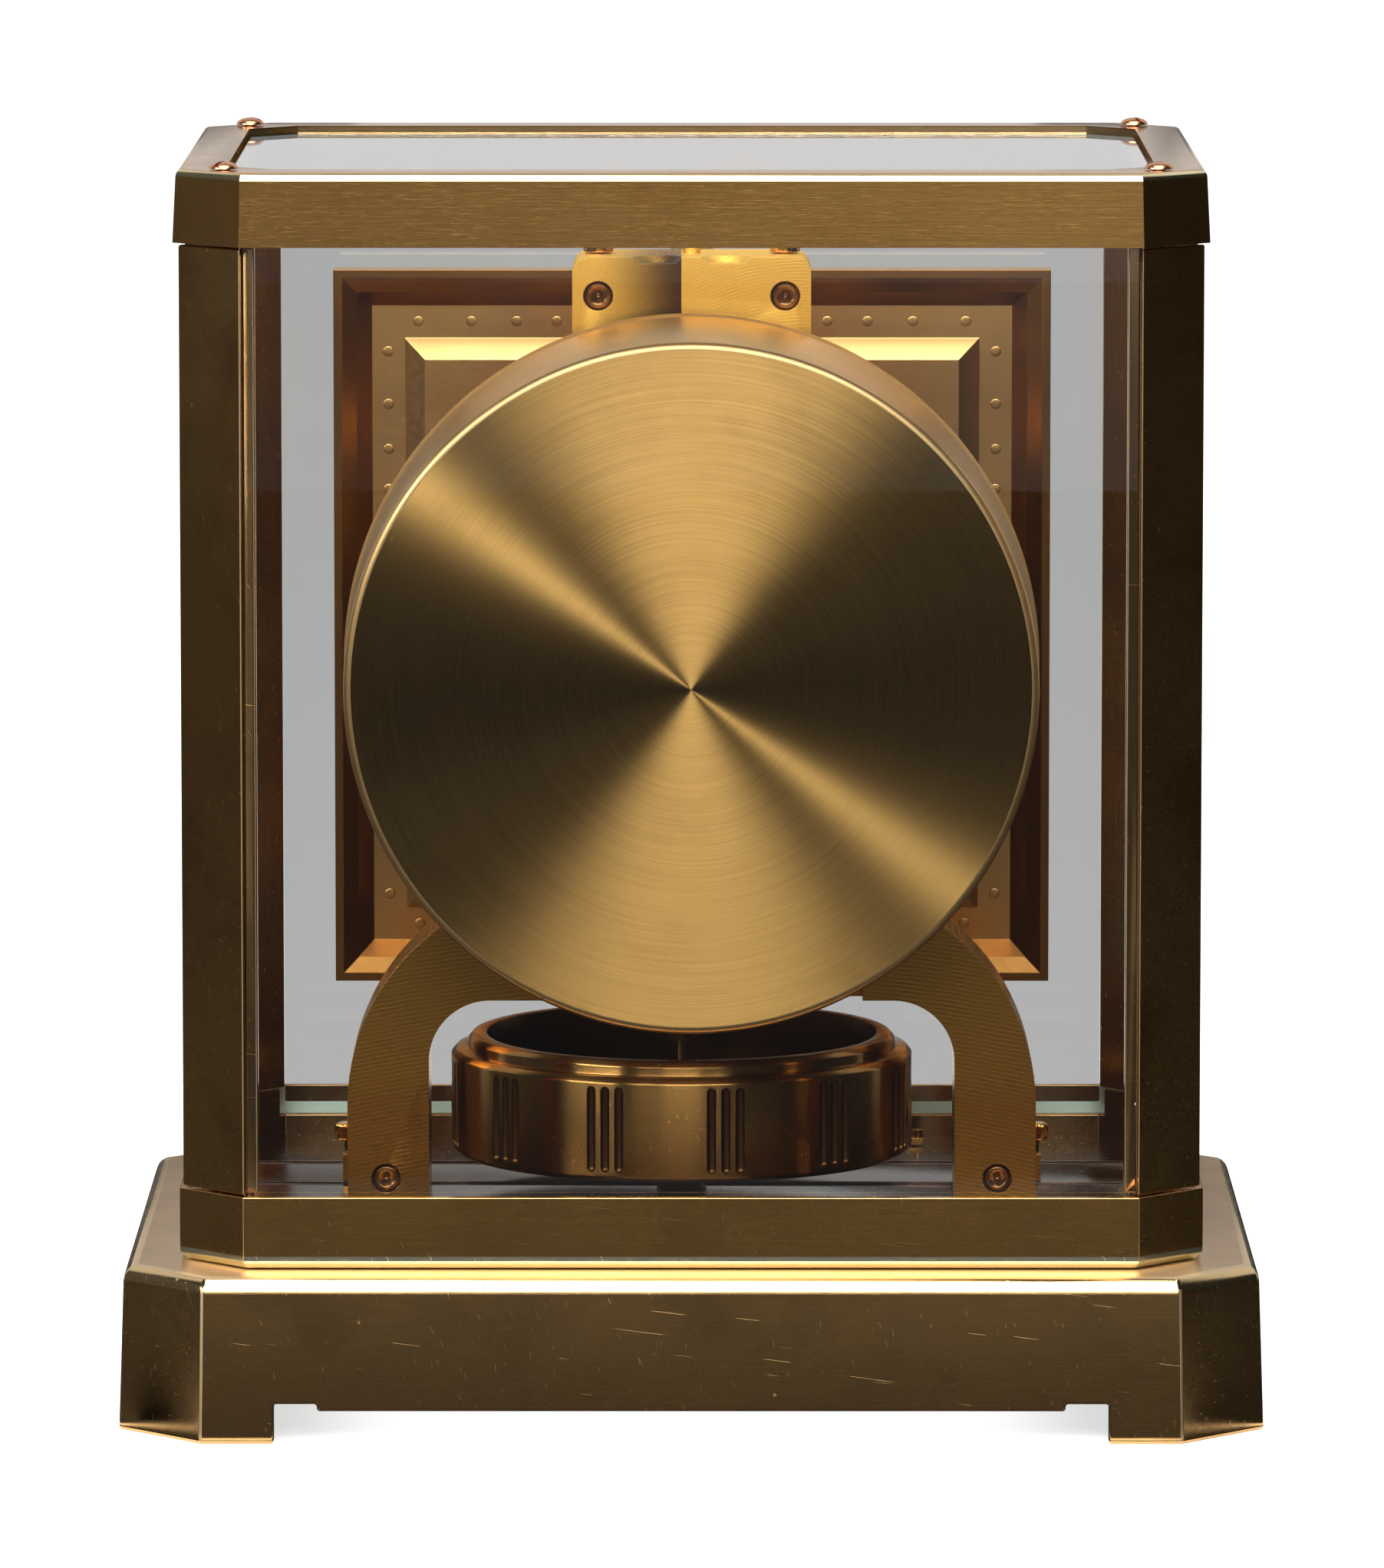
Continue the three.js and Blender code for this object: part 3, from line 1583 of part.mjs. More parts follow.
/** Escape wheel outline with raked teeth. */
function escapeOutline() {
  const points = [];
  const rootShare = 0.78;
  const step = (2 * Math.PI) / teeth.escape;
  for (let index = 0; index < teeth.escape; index += 1) {
    const angle = index * step;
    points.push([escapeRadius * rootShare * Math.cos(angle), escapeRadius * rootShare * Math.sin(angle)]);
    const tip = angle + step * rootShare;
    points.push([escapeRadius * Math.cos(tip), escapeRadius * Math.sin(tip)]);
  }
  return outlineOf(points);
}

addPiece(
  "escape_wheel",
  shapeOf([
    wheelBetween(
      teeth.escapePinion,
      tooth.moduleSize,
      escapePinionTurn,
      escapePlace,
      wheelNear(layer.second),
      wheelFar(layer.second),
    ),
    extrudedAlongY(escapeOutline(), wheelNear(layer.first), wheelFar(layer.first)).translate(
      escapePlace[0],
      0,
      escapePlace[1],
    ),
    arborBetween(arborRadius.train, escapePlace),
  ]),
  movementBrass,
);

// Pallet lever with a tail that reaches down to the roller
function palletGeometry() {
  const [x, z] = palletPlace;
  const far = wheelFar(layer.first);
  const near = far - pallet.thickness;
  const { halfSpan, nibWidth, nibHeight, crownHeight, armWidth, tailWidth, hubRadius } = pallet;
  const anchor = outlineOf([
    [-halfSpan, nibHeight],
    [-halfSpan, crownHeight - armWidth],
    [-tailWidth / 2, -hubRadius],
    [-tailWidth / 2, -palletTail],
    [tailWidth / 2, -palletTail],
    [tailWidth / 2, -hubRadius],
    [halfSpan, crownHeight - armWidth],
    [halfSpan, nibHeight],
    [halfSpan - nibWidth, nibHeight],
    [halfSpan - nibWidth, crownHeight],
    [nibWidth - halfSpan, crownHeight],
    [nibWidth - halfSpan, nibHeight],
  ]);
  const body = extrudedAlongY(anchor, near, far).translate(x, 0, z);
  const arbor = arborBetween(arborRadius.train, palletPlace);
  const hub = axleBetween(pallet.hubRadius, x, z, near, far);
  const pinEnd = suspension.y - roller.radius - gap;
  const pin = axleBetween(pallet.pinRadius, x, z - palletTail + pallet.pinRadius, near, pinEnd, 12);
  return shapeOf([body, hub, arbor, pin]);
}
addPiece("pallet_lever", palletGeometry(), steel);

// Dial works under the dial
const minuteTurn = meshTurn(0, teeth.cannon, teeth.minute, trainAngle.minute);
const hourTurn = meshTurn(0, teeth.minutePinion, teeth.hour, trainAngle.minute + 180);
function minuteWheelGeometry() {
  const wheel = wheelBetween(
    teeth.minute,
    tooth.moduleSize,
    minuteTurn,
    minutePlace,
    cannonNear,
    cannonFar,
  );
  const pinion = wheelBetween(
    teeth.minutePinion,
    tooth.hourModuleSize,
    0,
    minutePlace,
    hourWheelNear,
    cannonNear + overrun / 2,
  );
  const bore = axleBetween(
    arborRadius.train + gap,
    minutePlace[0],
    minutePlace[1],
    hourWheelNear - overrun,
    cannonFar + overrun,
    16,
  );
  return shapeOf([wheel, pinion], [bore]);
}
addPiece("minute_wheel", minuteWheelGeometry(), movementBrass);
/** Square sheet pressing from a profile of [half side, y] points, through four flat sides. */
function squarePressing(profile) {
  const points = profile.map(([half, y]) => new THREE.Vector2(half * Math.SQRT2, y));
  return new THREE.LatheGeometry(points, 4).rotateY(Math.PI / 4).translate(0, 0, movementHeight);
}

function dialGeometry() {
  const { half, backY, sheet, edgeWidth, coveWidth, coveDepth, bandWidth, bevelWidth, bevelRise } = dial;
  const coveStart = half - edgeWidth;
  const bandStart = coveStart - coveWidth;
  const bevelStart = bandStart - bandWidth;
  const panelStart = bevelStart - bevelWidth;
  const bandY = backY - coveDepth;
  const panelY = bandY + bevelRise;
  const pressing = squarePressing([
    [0, panelY - sheet],
    [panelStart - sheet / 3, panelY - sheet],
    [bevelStart - sheet / 3, bandY - sheet],
    [half, bandY - sheet],
    [half, backY],
    [coveStart, backY],
    [coveStart - coveWidth / 2, backY - coveDepth / 3],
    [bandStart, bandY],
    [bevelStart, bandY],
    [panelStart, panelY],
    [0, panelY],
  ]);
  const markers = [];
  const track = (bandStart + bevelStart) / 2;
  const hourCount = 12;
  for (let hour = 0; hour < hourCount; hour += 1) {
    const angle = (hour * 2 * Math.PI) / hourCount;
    const reach = track / Math.max(Math.abs(Math.cos(angle)), Math.abs(Math.sin(angle)));
    const marker = boxBetween(
      [-dial.markerWidth / 2, bandY - sheet - dial.markerHeight, reach - dial.markerLength / 2],
      [dial.markerWidth / 2, bandY - sheet / 2, reach + dial.markerLength / 2],
    );
    markers.push(marker.rotateY(angle).translate(0, 0, movementHeight));
  }
  const feet = [-1, 1].flatMap((sideX) =>
    [-1, 1].map((sideZ) =>
      axleBetween(
        dial.footRadius,
        sideX * dial.footX,
        movementHeight + sideZ * dial.footZ,
        panelY - sheet / 2,
        frontPlateY - gap,
      ),
    ),
  );
  const hole = axleBetween(dial.holeRadius, 0, movementHeight, panelY - sheet - overrun, panelY + overrun);
  return shapeOf([pressing, ...markers, ...feet], [hole]);
}
addPiece("dial_plate", dialGeometry(), dialGold);

/** Tapered hand with a counterweight, pointing up from its own middle. */
function handOutline(length, width) {
  return outlineOf([
    [-width / 3, -hands.tail],
    [width / 3, -hands.tail],
    [width / 2, 0],
    [width / 5, length],
    [-width / 5, length],
    [-width / 2, 0],
  ]);
}

function hourHandGeometry() {
  const hand = extrudedAlongY(handOutline(hands.hourLength, hands.hourWidth), hourHandNear, hourHandFar);
  const boss = axleBetween(hands.bossRadius, 0, 0, hourHandNear, hourHandFar);
  const pipe = axleBetween(hands.pipeRadius, 0, 0, hourHandNear, hourWheelFar);
  const wheel = wheelBetween(
    teeth.hour,
    tooth.hourModuleSize,
    hourTurn,
    [0, 0],
    hourWheelNear,
    hourWheelFar,
  );
  const boreNear = hourHandNear - overrun;
  const bore = axleBetween(arborRadius.centre + gap, 0, 0, boreNear, hourWheelFar + overrun, 16);
  return shapeOf([hand, boss, pipe, wheel], [bore]).translate(0, 0, movementHeight);
}
addPiece("hour_hand", hourHandGeometry(), blackPaint);

function minuteHandGeometry() {
  const outline = handOutline(hands.minuteLength, hands.minuteWidth);
  const hand = extrudedAlongY(outline, minuteHandNear, minuteHandFar);
  const boss = axleBetween(hands.bossRadius, 0, 0, minuteHandNear, minuteHandFar);
  const cap = axleBetween(
    hands.capRadius,
    0,
    0,
    minuteHandNear - hands.capHeight,
    minuteHandNear + hands.thickness / 2,
  );
  const socket = axleBetween(
    arborRadius.centre + gap,
    0,
    0,
    minuteHandNear - gap,
    minuteHandFar + overrun,
    16,
  );
  return shapeOf([hand, boss, cap], [socket]).translate(0, 0, movementHeight);
}
addPiece("minute_hand", minuteHandGeometry(), blackPaint);

export default clock;
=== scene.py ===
"""Studio scene of an atmospheric clock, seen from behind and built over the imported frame."""

import logging
import math
from abc import ABC, abstractmethod
from collections.abc import Callable, Sequence
from dataclasses import dataclass, replace
from enum import Enum
from typing import ClassVar

import bmesh
import bpy
from mathutils import Matrix, Vector


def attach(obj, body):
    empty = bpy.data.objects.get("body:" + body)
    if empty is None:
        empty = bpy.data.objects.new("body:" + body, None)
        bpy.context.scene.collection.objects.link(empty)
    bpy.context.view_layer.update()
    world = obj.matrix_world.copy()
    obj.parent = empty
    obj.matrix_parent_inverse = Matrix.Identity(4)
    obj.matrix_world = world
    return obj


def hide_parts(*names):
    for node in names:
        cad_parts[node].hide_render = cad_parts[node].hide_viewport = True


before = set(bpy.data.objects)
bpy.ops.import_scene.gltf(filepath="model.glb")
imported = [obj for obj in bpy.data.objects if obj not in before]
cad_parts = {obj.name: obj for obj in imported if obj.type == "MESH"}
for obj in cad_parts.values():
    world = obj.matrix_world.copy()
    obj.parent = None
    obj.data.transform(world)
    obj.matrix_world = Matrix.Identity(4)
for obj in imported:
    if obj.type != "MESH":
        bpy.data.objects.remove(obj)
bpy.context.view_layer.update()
LOG = logging.getLogger("clock")

MM = 0.001
SMALLEST = 1e-7
MERGE_REACH = 2e-6
FLATNESS = math.radians(0.6)
BEVEL_FROM = math.radians(28)
SLOPED = (0.2, 0.95)
STRAIGHT_ENOUGH = 0.3
CORNER_SHARE = 0.45
SCRATCH_DEPTH = 0.000008
SCRATCH_TILTS = (0.12, 1.1, 1.45)
SCRATCH_LEAN = (0.4, 1.0, 0.7)
SCRATCH_SHIFT = (1.0, 3.0, 0.0)
SCRATCH_SCALE = (45.0, 900.0, 5200.0)
SCRATCH_SPAN = (0.825, 0.865)
SPECK_SCALE = 330.0
SPECK_EDGE = (0.06, 0.16)
SPECK_CHANCE = (0.93, 0.97)
STAIN_NOISE = (46.0, 5.0, 0.62)
STAIN_SPAN = (0.44, 0.74)
RING_SCALE = 24.0
ARC_DRIFT = 0.0007
ARC_DRIFT_SCALE = 90.0
ARC_NOISE = (400.0, 3.0, 0.6)
ARC_SPAN = (0.25, 0.7)

Colour = tuple[float, float, float]
Spot = tuple[float, float, float]
Pair = tuple[float, float]
Profile = list[Pair]
Socket = bpy.types.NodeSocket
Piece = bpy.types.Object
Mesh = bpy.types.Mesh
Face = bpy.types.MeshPolygon


class Axis(Enum):
    """Axis that a piece is turned round."""

    DEPTH = "Y"
    UPRIGHT = "Z"


class Grain(Enum):
    """How a metal surface was worked."""

    LINES = "lines"
    TURNED = "turned"
    MILLED = "milled"


# Node trees


class NodeBench:
    """Adds nodes to one tree, with values and links set in the same call."""

    def __init__(self, tree: bpy.types.NodeTree) -> None:
        """Starts work on a shader or geometry tree."""
        self.tree = tree

    def add(
        self, kind: str, inputs: dict[str | int, object] | None = None, **settings: object
    ) -> bpy.types.Node:
        """Adds a node.

        Args:
            kind: Blender's name for the type of node.
            inputs: Values or sockets for the inputs, by name or place.
            settings: Properties of the node itself.

        Returns:
            The new node.
        """
        node = self.tree.nodes.new(kind)
        for name, value in settings.items():
            setattr(node, name, value)
        for key, value in (inputs or {}).items():
            socket = node.inputs[key]
            if isinstance(value, Socket):
                self.tree.links.new(value, socket)
            else:
                socket.default_value = value
        return node

    def maths(self, operation: str, *values: object, clamp: bool = False) -> Socket:
        """Adds a sum on up to three numbers, which clamp holds between nought and one."""
        node = self.add(
            "ShaderNodeMath", dict(enumerate(values)), operation=operation, use_clamp=clamp
        )
        return node.outputs[0]

    def times(self, *values: object, clamp: bool = False) -> Socket:
        """Adds the product of two numbers, plus the third where there is one."""
        return self.maths("MULTIPLY_ADD" if values[2:] else "MULTIPLY", *values, clamp=clamp)

    def vector_maths(self, operation: str, *values: object) -> Socket:
        """Adds a sum on vectors."""
        node = self.add("ShaderNodeVectorMath", dict(enumerate(values)), operation=operation)
        return node.outputs["Value" if operation in ("LENGTH", "DISTANCE") else "Vector"]

    def ramp(self, value: object, low: float, high: float) -> Socket:
        """Adds a smooth step, nought at the low number and one at the high."""
        node = self.add(
            "ShaderNodeMapRange",
            {"Value": value, "From Min": low, "From Max": high},
            interpolation_type="SMOOTHSTEP",
        )
        return node.outputs["Result"]

    def blend_colours(self, share: object, first: object, second: object) -> Socket:
        """Adds a mix of two colours, with the share that the second has in it."""
        sides = [(*side, 1.0) if isinstance(side, tuple) else side for side in (first, second)]
        node = self.add("ShaderNodeMix", {0: share, 6: sides[0], 7: sides[1]}, data_type="RGBA")
        return node.outputs[2]

    def noise(
        self, vector: object, scale: float, detail: float = 2.0, roughness: float = 0.5
    ) -> Socket:
        """Adds a noise texture that is read at a vector."""
        node = self.add(
            "ShaderNodeTexNoise",
            {"Vector": vector, "Scale": scale, "Detail": detail, "Roughness": roughness},
        )
        return node.outputs["Fac"]

    def place(self) -> Socket:
        """Adds the coordinates that stay with the object."""
        return self.add("ShaderNodeTexCoord").outputs["Object"]

    def combine(self, x: object, y: object, z: object) -> Socket:
        """Joins three numbers into a vector."""
        return self.add("ShaderNodeCombineXYZ", {"X": x, "Y": y, "Z": z}).outputs[0]

    def parts(self, vector: object) -> bpy.types.NodeOutputs:
        """Splits a vector into its three numbers."""
        return self.add("ShaderNodeSeparateXYZ", {"Vector": vector}).outputs

    def effect(
        self, name: str, vector: Socket, **values: float
    ) -> bpy.types.NodeOutputs:
        """Adds a shared effect.

        Args:
            name: The effect's name.
            vector: Where the effect is read.
            values: Its other inputs.

        Returns:
            The effect's outputs.
        """
        node = self.add("ShaderNodeGroup", {"Vector": vector}, node_tree=ShaderGroup.made[name])
        for title, value in values.items():
            node.inputs[title].default_value = value
        return node.outputs


class MaterialBench(NodeBench):
    """Nodes of one new material, up to its output."""

    def __init__(self, name: str) -> None:
        """Opens the material.

        Args:
            name: The material's name.
        """
        self.made = bpy.data.materials.new(name)
        self.made.use_nodes = True
        self.made.node_tree.nodes.clear()
        super().__init__(self.made.node_tree)

    def close(self, surface: Socket) -> bpy.types.Material:
        """Ends the material with its surface and returns it."""
        self.add("ShaderNodeOutputMaterial", {"Surface": surface})
        return self.made


class ShaderGroup(NodeBench):
    """Shared effect with named inputs and plain number outputs."""

    made: dict[str, bpy.types.NodeTree] = {}

    def __init__(self, name: str, inputs: Sequence[str], outputs: Sequence[str]) -> None:
        """Opens a new group.

        Args:
            name: The group's name.
            inputs: Number inputs, after the vector that each group has.
            outputs: Number outputs.
        """
        tree = bpy.data.node_groups.new(name, "ShaderNodeTree")
        super().__init__(tree)
        tree.interface.new_socket("Vector", in_out="INPUT", socket_type="NodeSocketVector")
        for title in inputs:
            tree.interface.new_socket(title, in_out="INPUT", socket_type="NodeSocketFloat")
        for title in outputs:
            tree.interface.new_socket(title, in_out="OUTPUT", socket_type="NodeSocketFloat")
        self.entry = tree.nodes.new("NodeGroupInput").outputs
        self.exit = tree.nodes.new("NodeGroupOutput").inputs
        ShaderGroup.made[name] = tree

    def give(self, title: str, value: Socket) -> None:
        """Sends a value out of the group."""
        self.tree.links.new(value, self.exit[title])


def mixed_noise(
    group: ShaderGroup,
    place: Socket,
    broad: Sequence[float],
    fine: Sequence[float],
    share: float,
    span: Pair,
) -> Socket:
    """Adds two noises and steps their mix.

    Args:
        group: The group that they go in.
        place: Where they are read.
        broad: Scale, detail and roughness of the first.
        fine: Scale, detail and roughness of the second.
        share: How much of the second shows.
        span: What becomes nought, and what becomes one.

    Returns:
        The stepped mix.
    """
    first, second = group.noise(place, *broad), group.noise(place, *fine)
    return group.ramp(group.times(second, share, group.times(first, 1 - share)), *span)


def make_line_grain() -> None:
    """Fine brushed lines, where the vector is already stretched along them."""
    group = ShaderGroup("brushed lines", [], ["Tone"])
    place = group.entry["Vector"]
    tone = mixed_noise(
        group, place, broad=(1.0, 3.0, 0.65), fine=(3.7, 2.0, 0.6), share=0.5, span=(0.3, 0.7)
    )
    group.give("Tone", tone)


def make_turned_grain() -> None:
    """Rings left by a lathe round the vector's third axis."""
    group = ShaderGroup("turned rings", ["Spacing"], ["Tone"])
    place = group.parts(group.entry["Vector"])
    reach = group.vector_maths("LENGTH", group.combine(place["X"], place["Y"], 0.0))
    rings = group.maths("DIVIDE", reach, group.entry["Spacing"])
    spot = group.combine(rings, *(group.times(place[name], RING_SCALE) for name in ("X", "Y")))
    tone = mixed_noise(
        group, spot, broad=(0.22, 2.0, 0.7), fine=(1.0, 2.0, 0.8), share=0.8, span=(0.38, 0.62)
    )
    group.give("Tone", tone)


def make_milled_grain() -> None:
    """Wide arcs left by a milling cutter whose middle is far from the face."""
    group = ShaderGroup("milled arcs", ["Spacing"], ["Tone"])
    reach = group.vector_maths("LENGTH", group.entry["Vector"])
    drift = group.times(group.noise(group.entry["Vector"], ARC_DRIFT_SCALE), ARC_DRIFT)
    turn = group.maths("DIVIDE", group.maths("ADD", reach, drift), group.entry["Spacing"])
    wave = group.maths("SINE", group.times(turn, 2 * math.pi))
    uneven = group.noise(group.entry["Vector"], *ARC_NOISE)
    depth = group.times(wave, group.ramp(uneven, *ARC_SPAN))
    group.give("Tone", group.times(depth, 0.5, 0.5, clamp=True))


def make_wear() -> None:
    """Fine scratches, small specks and soft stains of handled brass."""
    group = ShaderGroup("handling wear", ["Density"], ["Scratches", "Specks", "Stains"])
    place = group.entry["Vector"]
    strands = []
    for tilt in SCRATCH_TILTS:
        turn = tuple(share * tilt for share in SCRATCH_LEAN)
        turned = group.add("ShaderNodeMapping", {"Vector": place, "Rotation": turn}).outputs[0]
        shift = tuple(share * tilt for share in SCRATCH_SHIFT)
        bent = group.vector_maths("ADD", turned, shift)
        long = group.add("ShaderNodeMapping", {"Vector": bent, "Scale": SCRATCH_SCALE})
        strand = group.noise(long.outputs[0], scale=1.0, detail=0.0)
        strands.append(group.ramp(strand, *SCRATCH_SPAN))
    lines = group.maths("ADD", strands[0], group.maths("ADD", strands[1], strands[2]), clamp=True)
    group.give("Scratches", group.times(lines, group.entry["Density"], clamp=True))
    cells = group.add("ShaderNodeTexVoronoi", {"Vector": place, "Scale": SPECK_SCALE}).outputs
    chance = group.parts(cells["Color"])["X"]
    dots = group.maths("SUBTRACT", 1.0, group.ramp(cells["Distance"], *SPECK_EDGE))
    rare = group.ramp(chance, *SPECK_CHANCE)
    group.give("Specks", group.times(dots, rare))
    group.give("Stains", group.ramp(group.noise(place, *STAIN_NOISE), *STAIN_SPAN))


# Finishes


@dataclass(frozen=True)
class Finish(ABC):
    """Material that is built once and then shared."""

    name: str
    colour: Colour
    view_share: ClassVar[float] = 1.0

    @abstractmethod
    def surface(self, bench: MaterialBench) -> Socket:
        """Adds the nodes and returns the shader that ends them."""

    def material(self) -> bpy.types.Material:
        """Builds the material, or returns the one made before."""
        made = bpy.data.materials.get(self.name)
        if made:
            return made
        bench = MaterialBench(self.name)
        bench.made.diffuse_color = (*self.colour, self.view_share)
        return bench.close(self.surface(bench))


@dataclass(frozen=True)
class MetalFinish(Finish):
    """Metal surface with its worked grain, wear and stains."""

    stain_and_shade: Colour
    roughness: float = 0.2
    grain: Grain = Grain.LINES
    stretch: Spot = (40.0, 3600.0, 3600.0)
    centre: Spot = (0.0, 0.0, 0.0)
    axis: Axis = Axis.DEPTH
    spacing: float = 0.00035
    grain_depth: float = 0.000012
    roughness_spread: float = 0.08
    tone_spread: float = 0.12
    anisotropy: float = 0.0
    stains: float = 0.35
    scratches: float = 0.5
    ripple: float = 0.0
    dull_above: float = 0.0
    dull_colour: Colour = (0.84, 0.56, 0.31)
    dull_ends: float = 0.0945
    end_colour: Colour = (0.46, 0.26, 0.14)
    highlight_span: Pair = (0.0, 0.0)
    highlight_colour: Colour = (1.0, 0.80, 0.46)
    highlight_share: float = 0.8
    painted_shade_from: float = 0.0
    painted_shade_reach: float = 0.0
    painted_shade_polish: float = 0.16
    dull_blur: float = 0.0003
    dull_roughness: float = 0.34
    end_blur: float = 0.003
    end_polish: float = 0.18
    patch_scale: float = 70.0
    patch_span: Pair = (0.42, 0.62)
    patch_share: float = 0.5
    highlight_blurs: Pair = (0.0004, 0.0002)
    scratch_roughness: float = 0.3
    speck_roughness: float = 0.35
    stain_roughness: float = 0.08
    ripple_scale: float = 34.0
    anisotropic_turn: float = 0.25

    def weathered(
        self, bench: NodeBench, place: Socket, tint: Socket, rough: Socket
    ) -> tuple[Socket, Socket]:
        """Adds a dull top, a painted highlight band, and painted shade that is darkest at a line
        and fades out to one side of it.

        Args:
            bench: Material's nodes.
            place: Object coordinates.
            tint: Colour so far.
            rough: Roughness so far.

        Returns:
            Colour and roughness.
        """
        parts = bench.parts(place)
        if self.dull_above:
            dull = bench.ramp(parts["Z"], self.dull_above - self.dull_blur, self.dull_above)
            across = bench.maths("ABSOLUTE", parts["X"])
            ends = bench.ramp(across, self.dull_ends - self.end_blur, self.dull_ends)
            spread = bench.ramp(bench.noise(place, self.patch_scale, detail=3.0), *self.patch_span)
            patches = bench.times(spread, self.patch_share)
            patched = bench.blend_colours(patches, self.end_colour, self.stain_and_shade)
            shade = bench.blend_colours(ends, self.dull_colour, patched)
            tint = bench.blend_colours(dull, tint, shade)
            softer = bench.times(ends, -self.end_polish, self.dull_roughness)
            rough = bench.times(dull, softer, rough)
        # Painted highlight: a paler band between two heights.
        if self.highlight_span[1]:
            low, high = self.highlight_span
            above = bench.ramp(parts["Z"], low, low + self.highlight_blurs[0])
            below = bench.ramp(parts["Z"], high, high - self.highlight_blurs[1])
            pale = bench.times(bench.times(above, below), self.highlight_share)
            tint = bench.blend_colours(pale, tint, self.highlight_colour)
        # Painted shade: darker and smoother just past a line, fading out to one side of it, in the
        # stain and shade colour.
        if self.painted_shade_reach:
            half = bench.maths("GREATER_THAN", parts["X"], self.painted_shade_from)
            end = self.painted_shade_from + self.painted_shade_reach
            bright = bench.ramp(parts["X"], self.painted_shade_from, end)
            painted_shade = bench.times(half, bench.maths("SUBTRACT", 1.0, bright))
            tint = bench.blend_colours(painted_shade, tint, self.stain_and_shade)
            rough = bench.maths("SUBTRACT", rough, bench.times(painted_shade, self.painted_shade_polish))
        return tint, rough

    def grain_tone(self, bench: NodeBench, place: Socket) -> Socket:
        """Adds the group that draws the grain.

        Args:
            bench: Material's nodes.
            place: Object coordinates.

        Returns:
            The grain's tone, from nought to one.
        """
        if self.grain is Grain.LINES:
            vector = bench.add("ShaderNodeMapping", {"Vector": place, "Scale": self.stretch})
            return bench.effect("brushed lines", vector.outputs[0])["Tone"]
        turn = (math.pi / 2, 0.0, 0.0) if self.axis is Axis.DEPTH else (0.0, 0.0, 0.0)
        shifted = bench.vector_maths("SUBTRACT", place, self.centre)
        vector = bench.add("ShaderNodeMapping", {"Vector": shifted, "Rotation": turn})
        kind = "turned rings" if self.grain is Grain.TURNED else "milled arcs"
        return bench.effect(kind, vector.outputs[0], Spacing=self.spacing)["Tone"]

    def surface(self, bench: MaterialBench) -> Socket:
        """Adds the metal with its grain and wear."""
        place = bench.place()
        tone = self.grain_tone(bench, place)
        wear = bench.effect("handling wear", place, Density=self.scratches)
        stained = bench.times(wear["Stains"], self.stains)
        darker = bench.times(tone, self.tone_spread, stained, clamp=True)
        tint = bench.blend_colours(darker, self.colour, self.stain_and_shade)
        rough = bench.times(tone, self.roughness_spread, self.roughness)
        rough = bench.times(wear["Scratches"], self.scratch_roughness, rough)
        rough = bench.times(wear["Specks"], self.speck_roughness * self.scratches, rough)
        rough = bench.times(stained, self.stain_roughness, rough)
        tint, rough = self.weathered(bench, place, tint, rough)
        grooves = bench.times(tone, self.grain_depth)
        score = SCRATCH_DEPTH * self.scratches
        scored = bench.times(wear["Scratches"], -score, grooves)
        waves = bench.noise(place, self.ripple_scale, detail=1.0)
        height = bench.times(waves, self.ripple, scored)
        bump = bench.add("ShaderNodeBump", {"Height": height, "Strength": 1.0, "Distance": 1.0})
        metal = bench.add(
            "ShaderNodeBsdfPrincipled",
            {
                "Base Color": tint,
                "Metallic": 1.0,
                "Roughness": rough,
                "Anisotropic": self.anisotropy,
                "Anisotropic Rotation": self.anisotropic_turn,
                "Normal": bump.outputs["Normal"],
            },
        )
        if self.anisotropy:
            tangent = bench.add("ShaderNodeTangent", direction_type="RADIAL", axis=self.axis.value)
            bench.tree.links.new(tangent.outputs["Tangent"], metal.inputs["Tangent"])
        return metal.outputs["BSDF"]


@dataclass(frozen=True)
class GlassFinish(Finish):
    """Clear glass that lets lamp light through to what it covers."""

    colour: Colour = (0.965, 0.97, 0.968)
    roughness: float = 0.0
    clearness: float = 1.0
    bending: float = 1.5
    wear: float = 0.3
    dust: float = 0.12
    dust_colour: Colour = (0.8, 0.8, 0.78)
    lamp_tint: Colour = (0.95, 0.96, 0.955)
    view_share: ClassVar[float] = 0.3

    def surface(self, bench: MaterialBench) -> Socket:
        """Adds the glass, clear to shadows and to inner reflections."""
        wear = bench.effect("handling wear", bench.place(), Density=self.wear)
        dust = bench.times(wear["Specks"], self.dust)
        tint = bench.blend_colours(dust, self.colour, self.dust_colour)
        glass = bench.add(
            "ShaderNodeBsdfPrincipled",
            {
                "Base Color": tint,
                "Roughness": self.roughness,
                "IOR": self.bending,
                "Transmission Weight": self.clearness,
            },
        )
        passing = bench.add("ShaderNodeBsdfTransparent", {"Color": (*self.lamp_tint, 1.0)})
        rays = bench.add("ShaderNodeLightPath").outputs
        inner = bench.maths("MAXIMUM", rays["Is Shadow Ray"], rays["Is Reflection Ray"])
        mixed = bench.add(
            "ShaderNodeMixShader",
            {0: inner, 1: glass.outputs["BSDF"], 2: passing.outputs["BSDF"]},
        )
        return mixed.outputs[0]


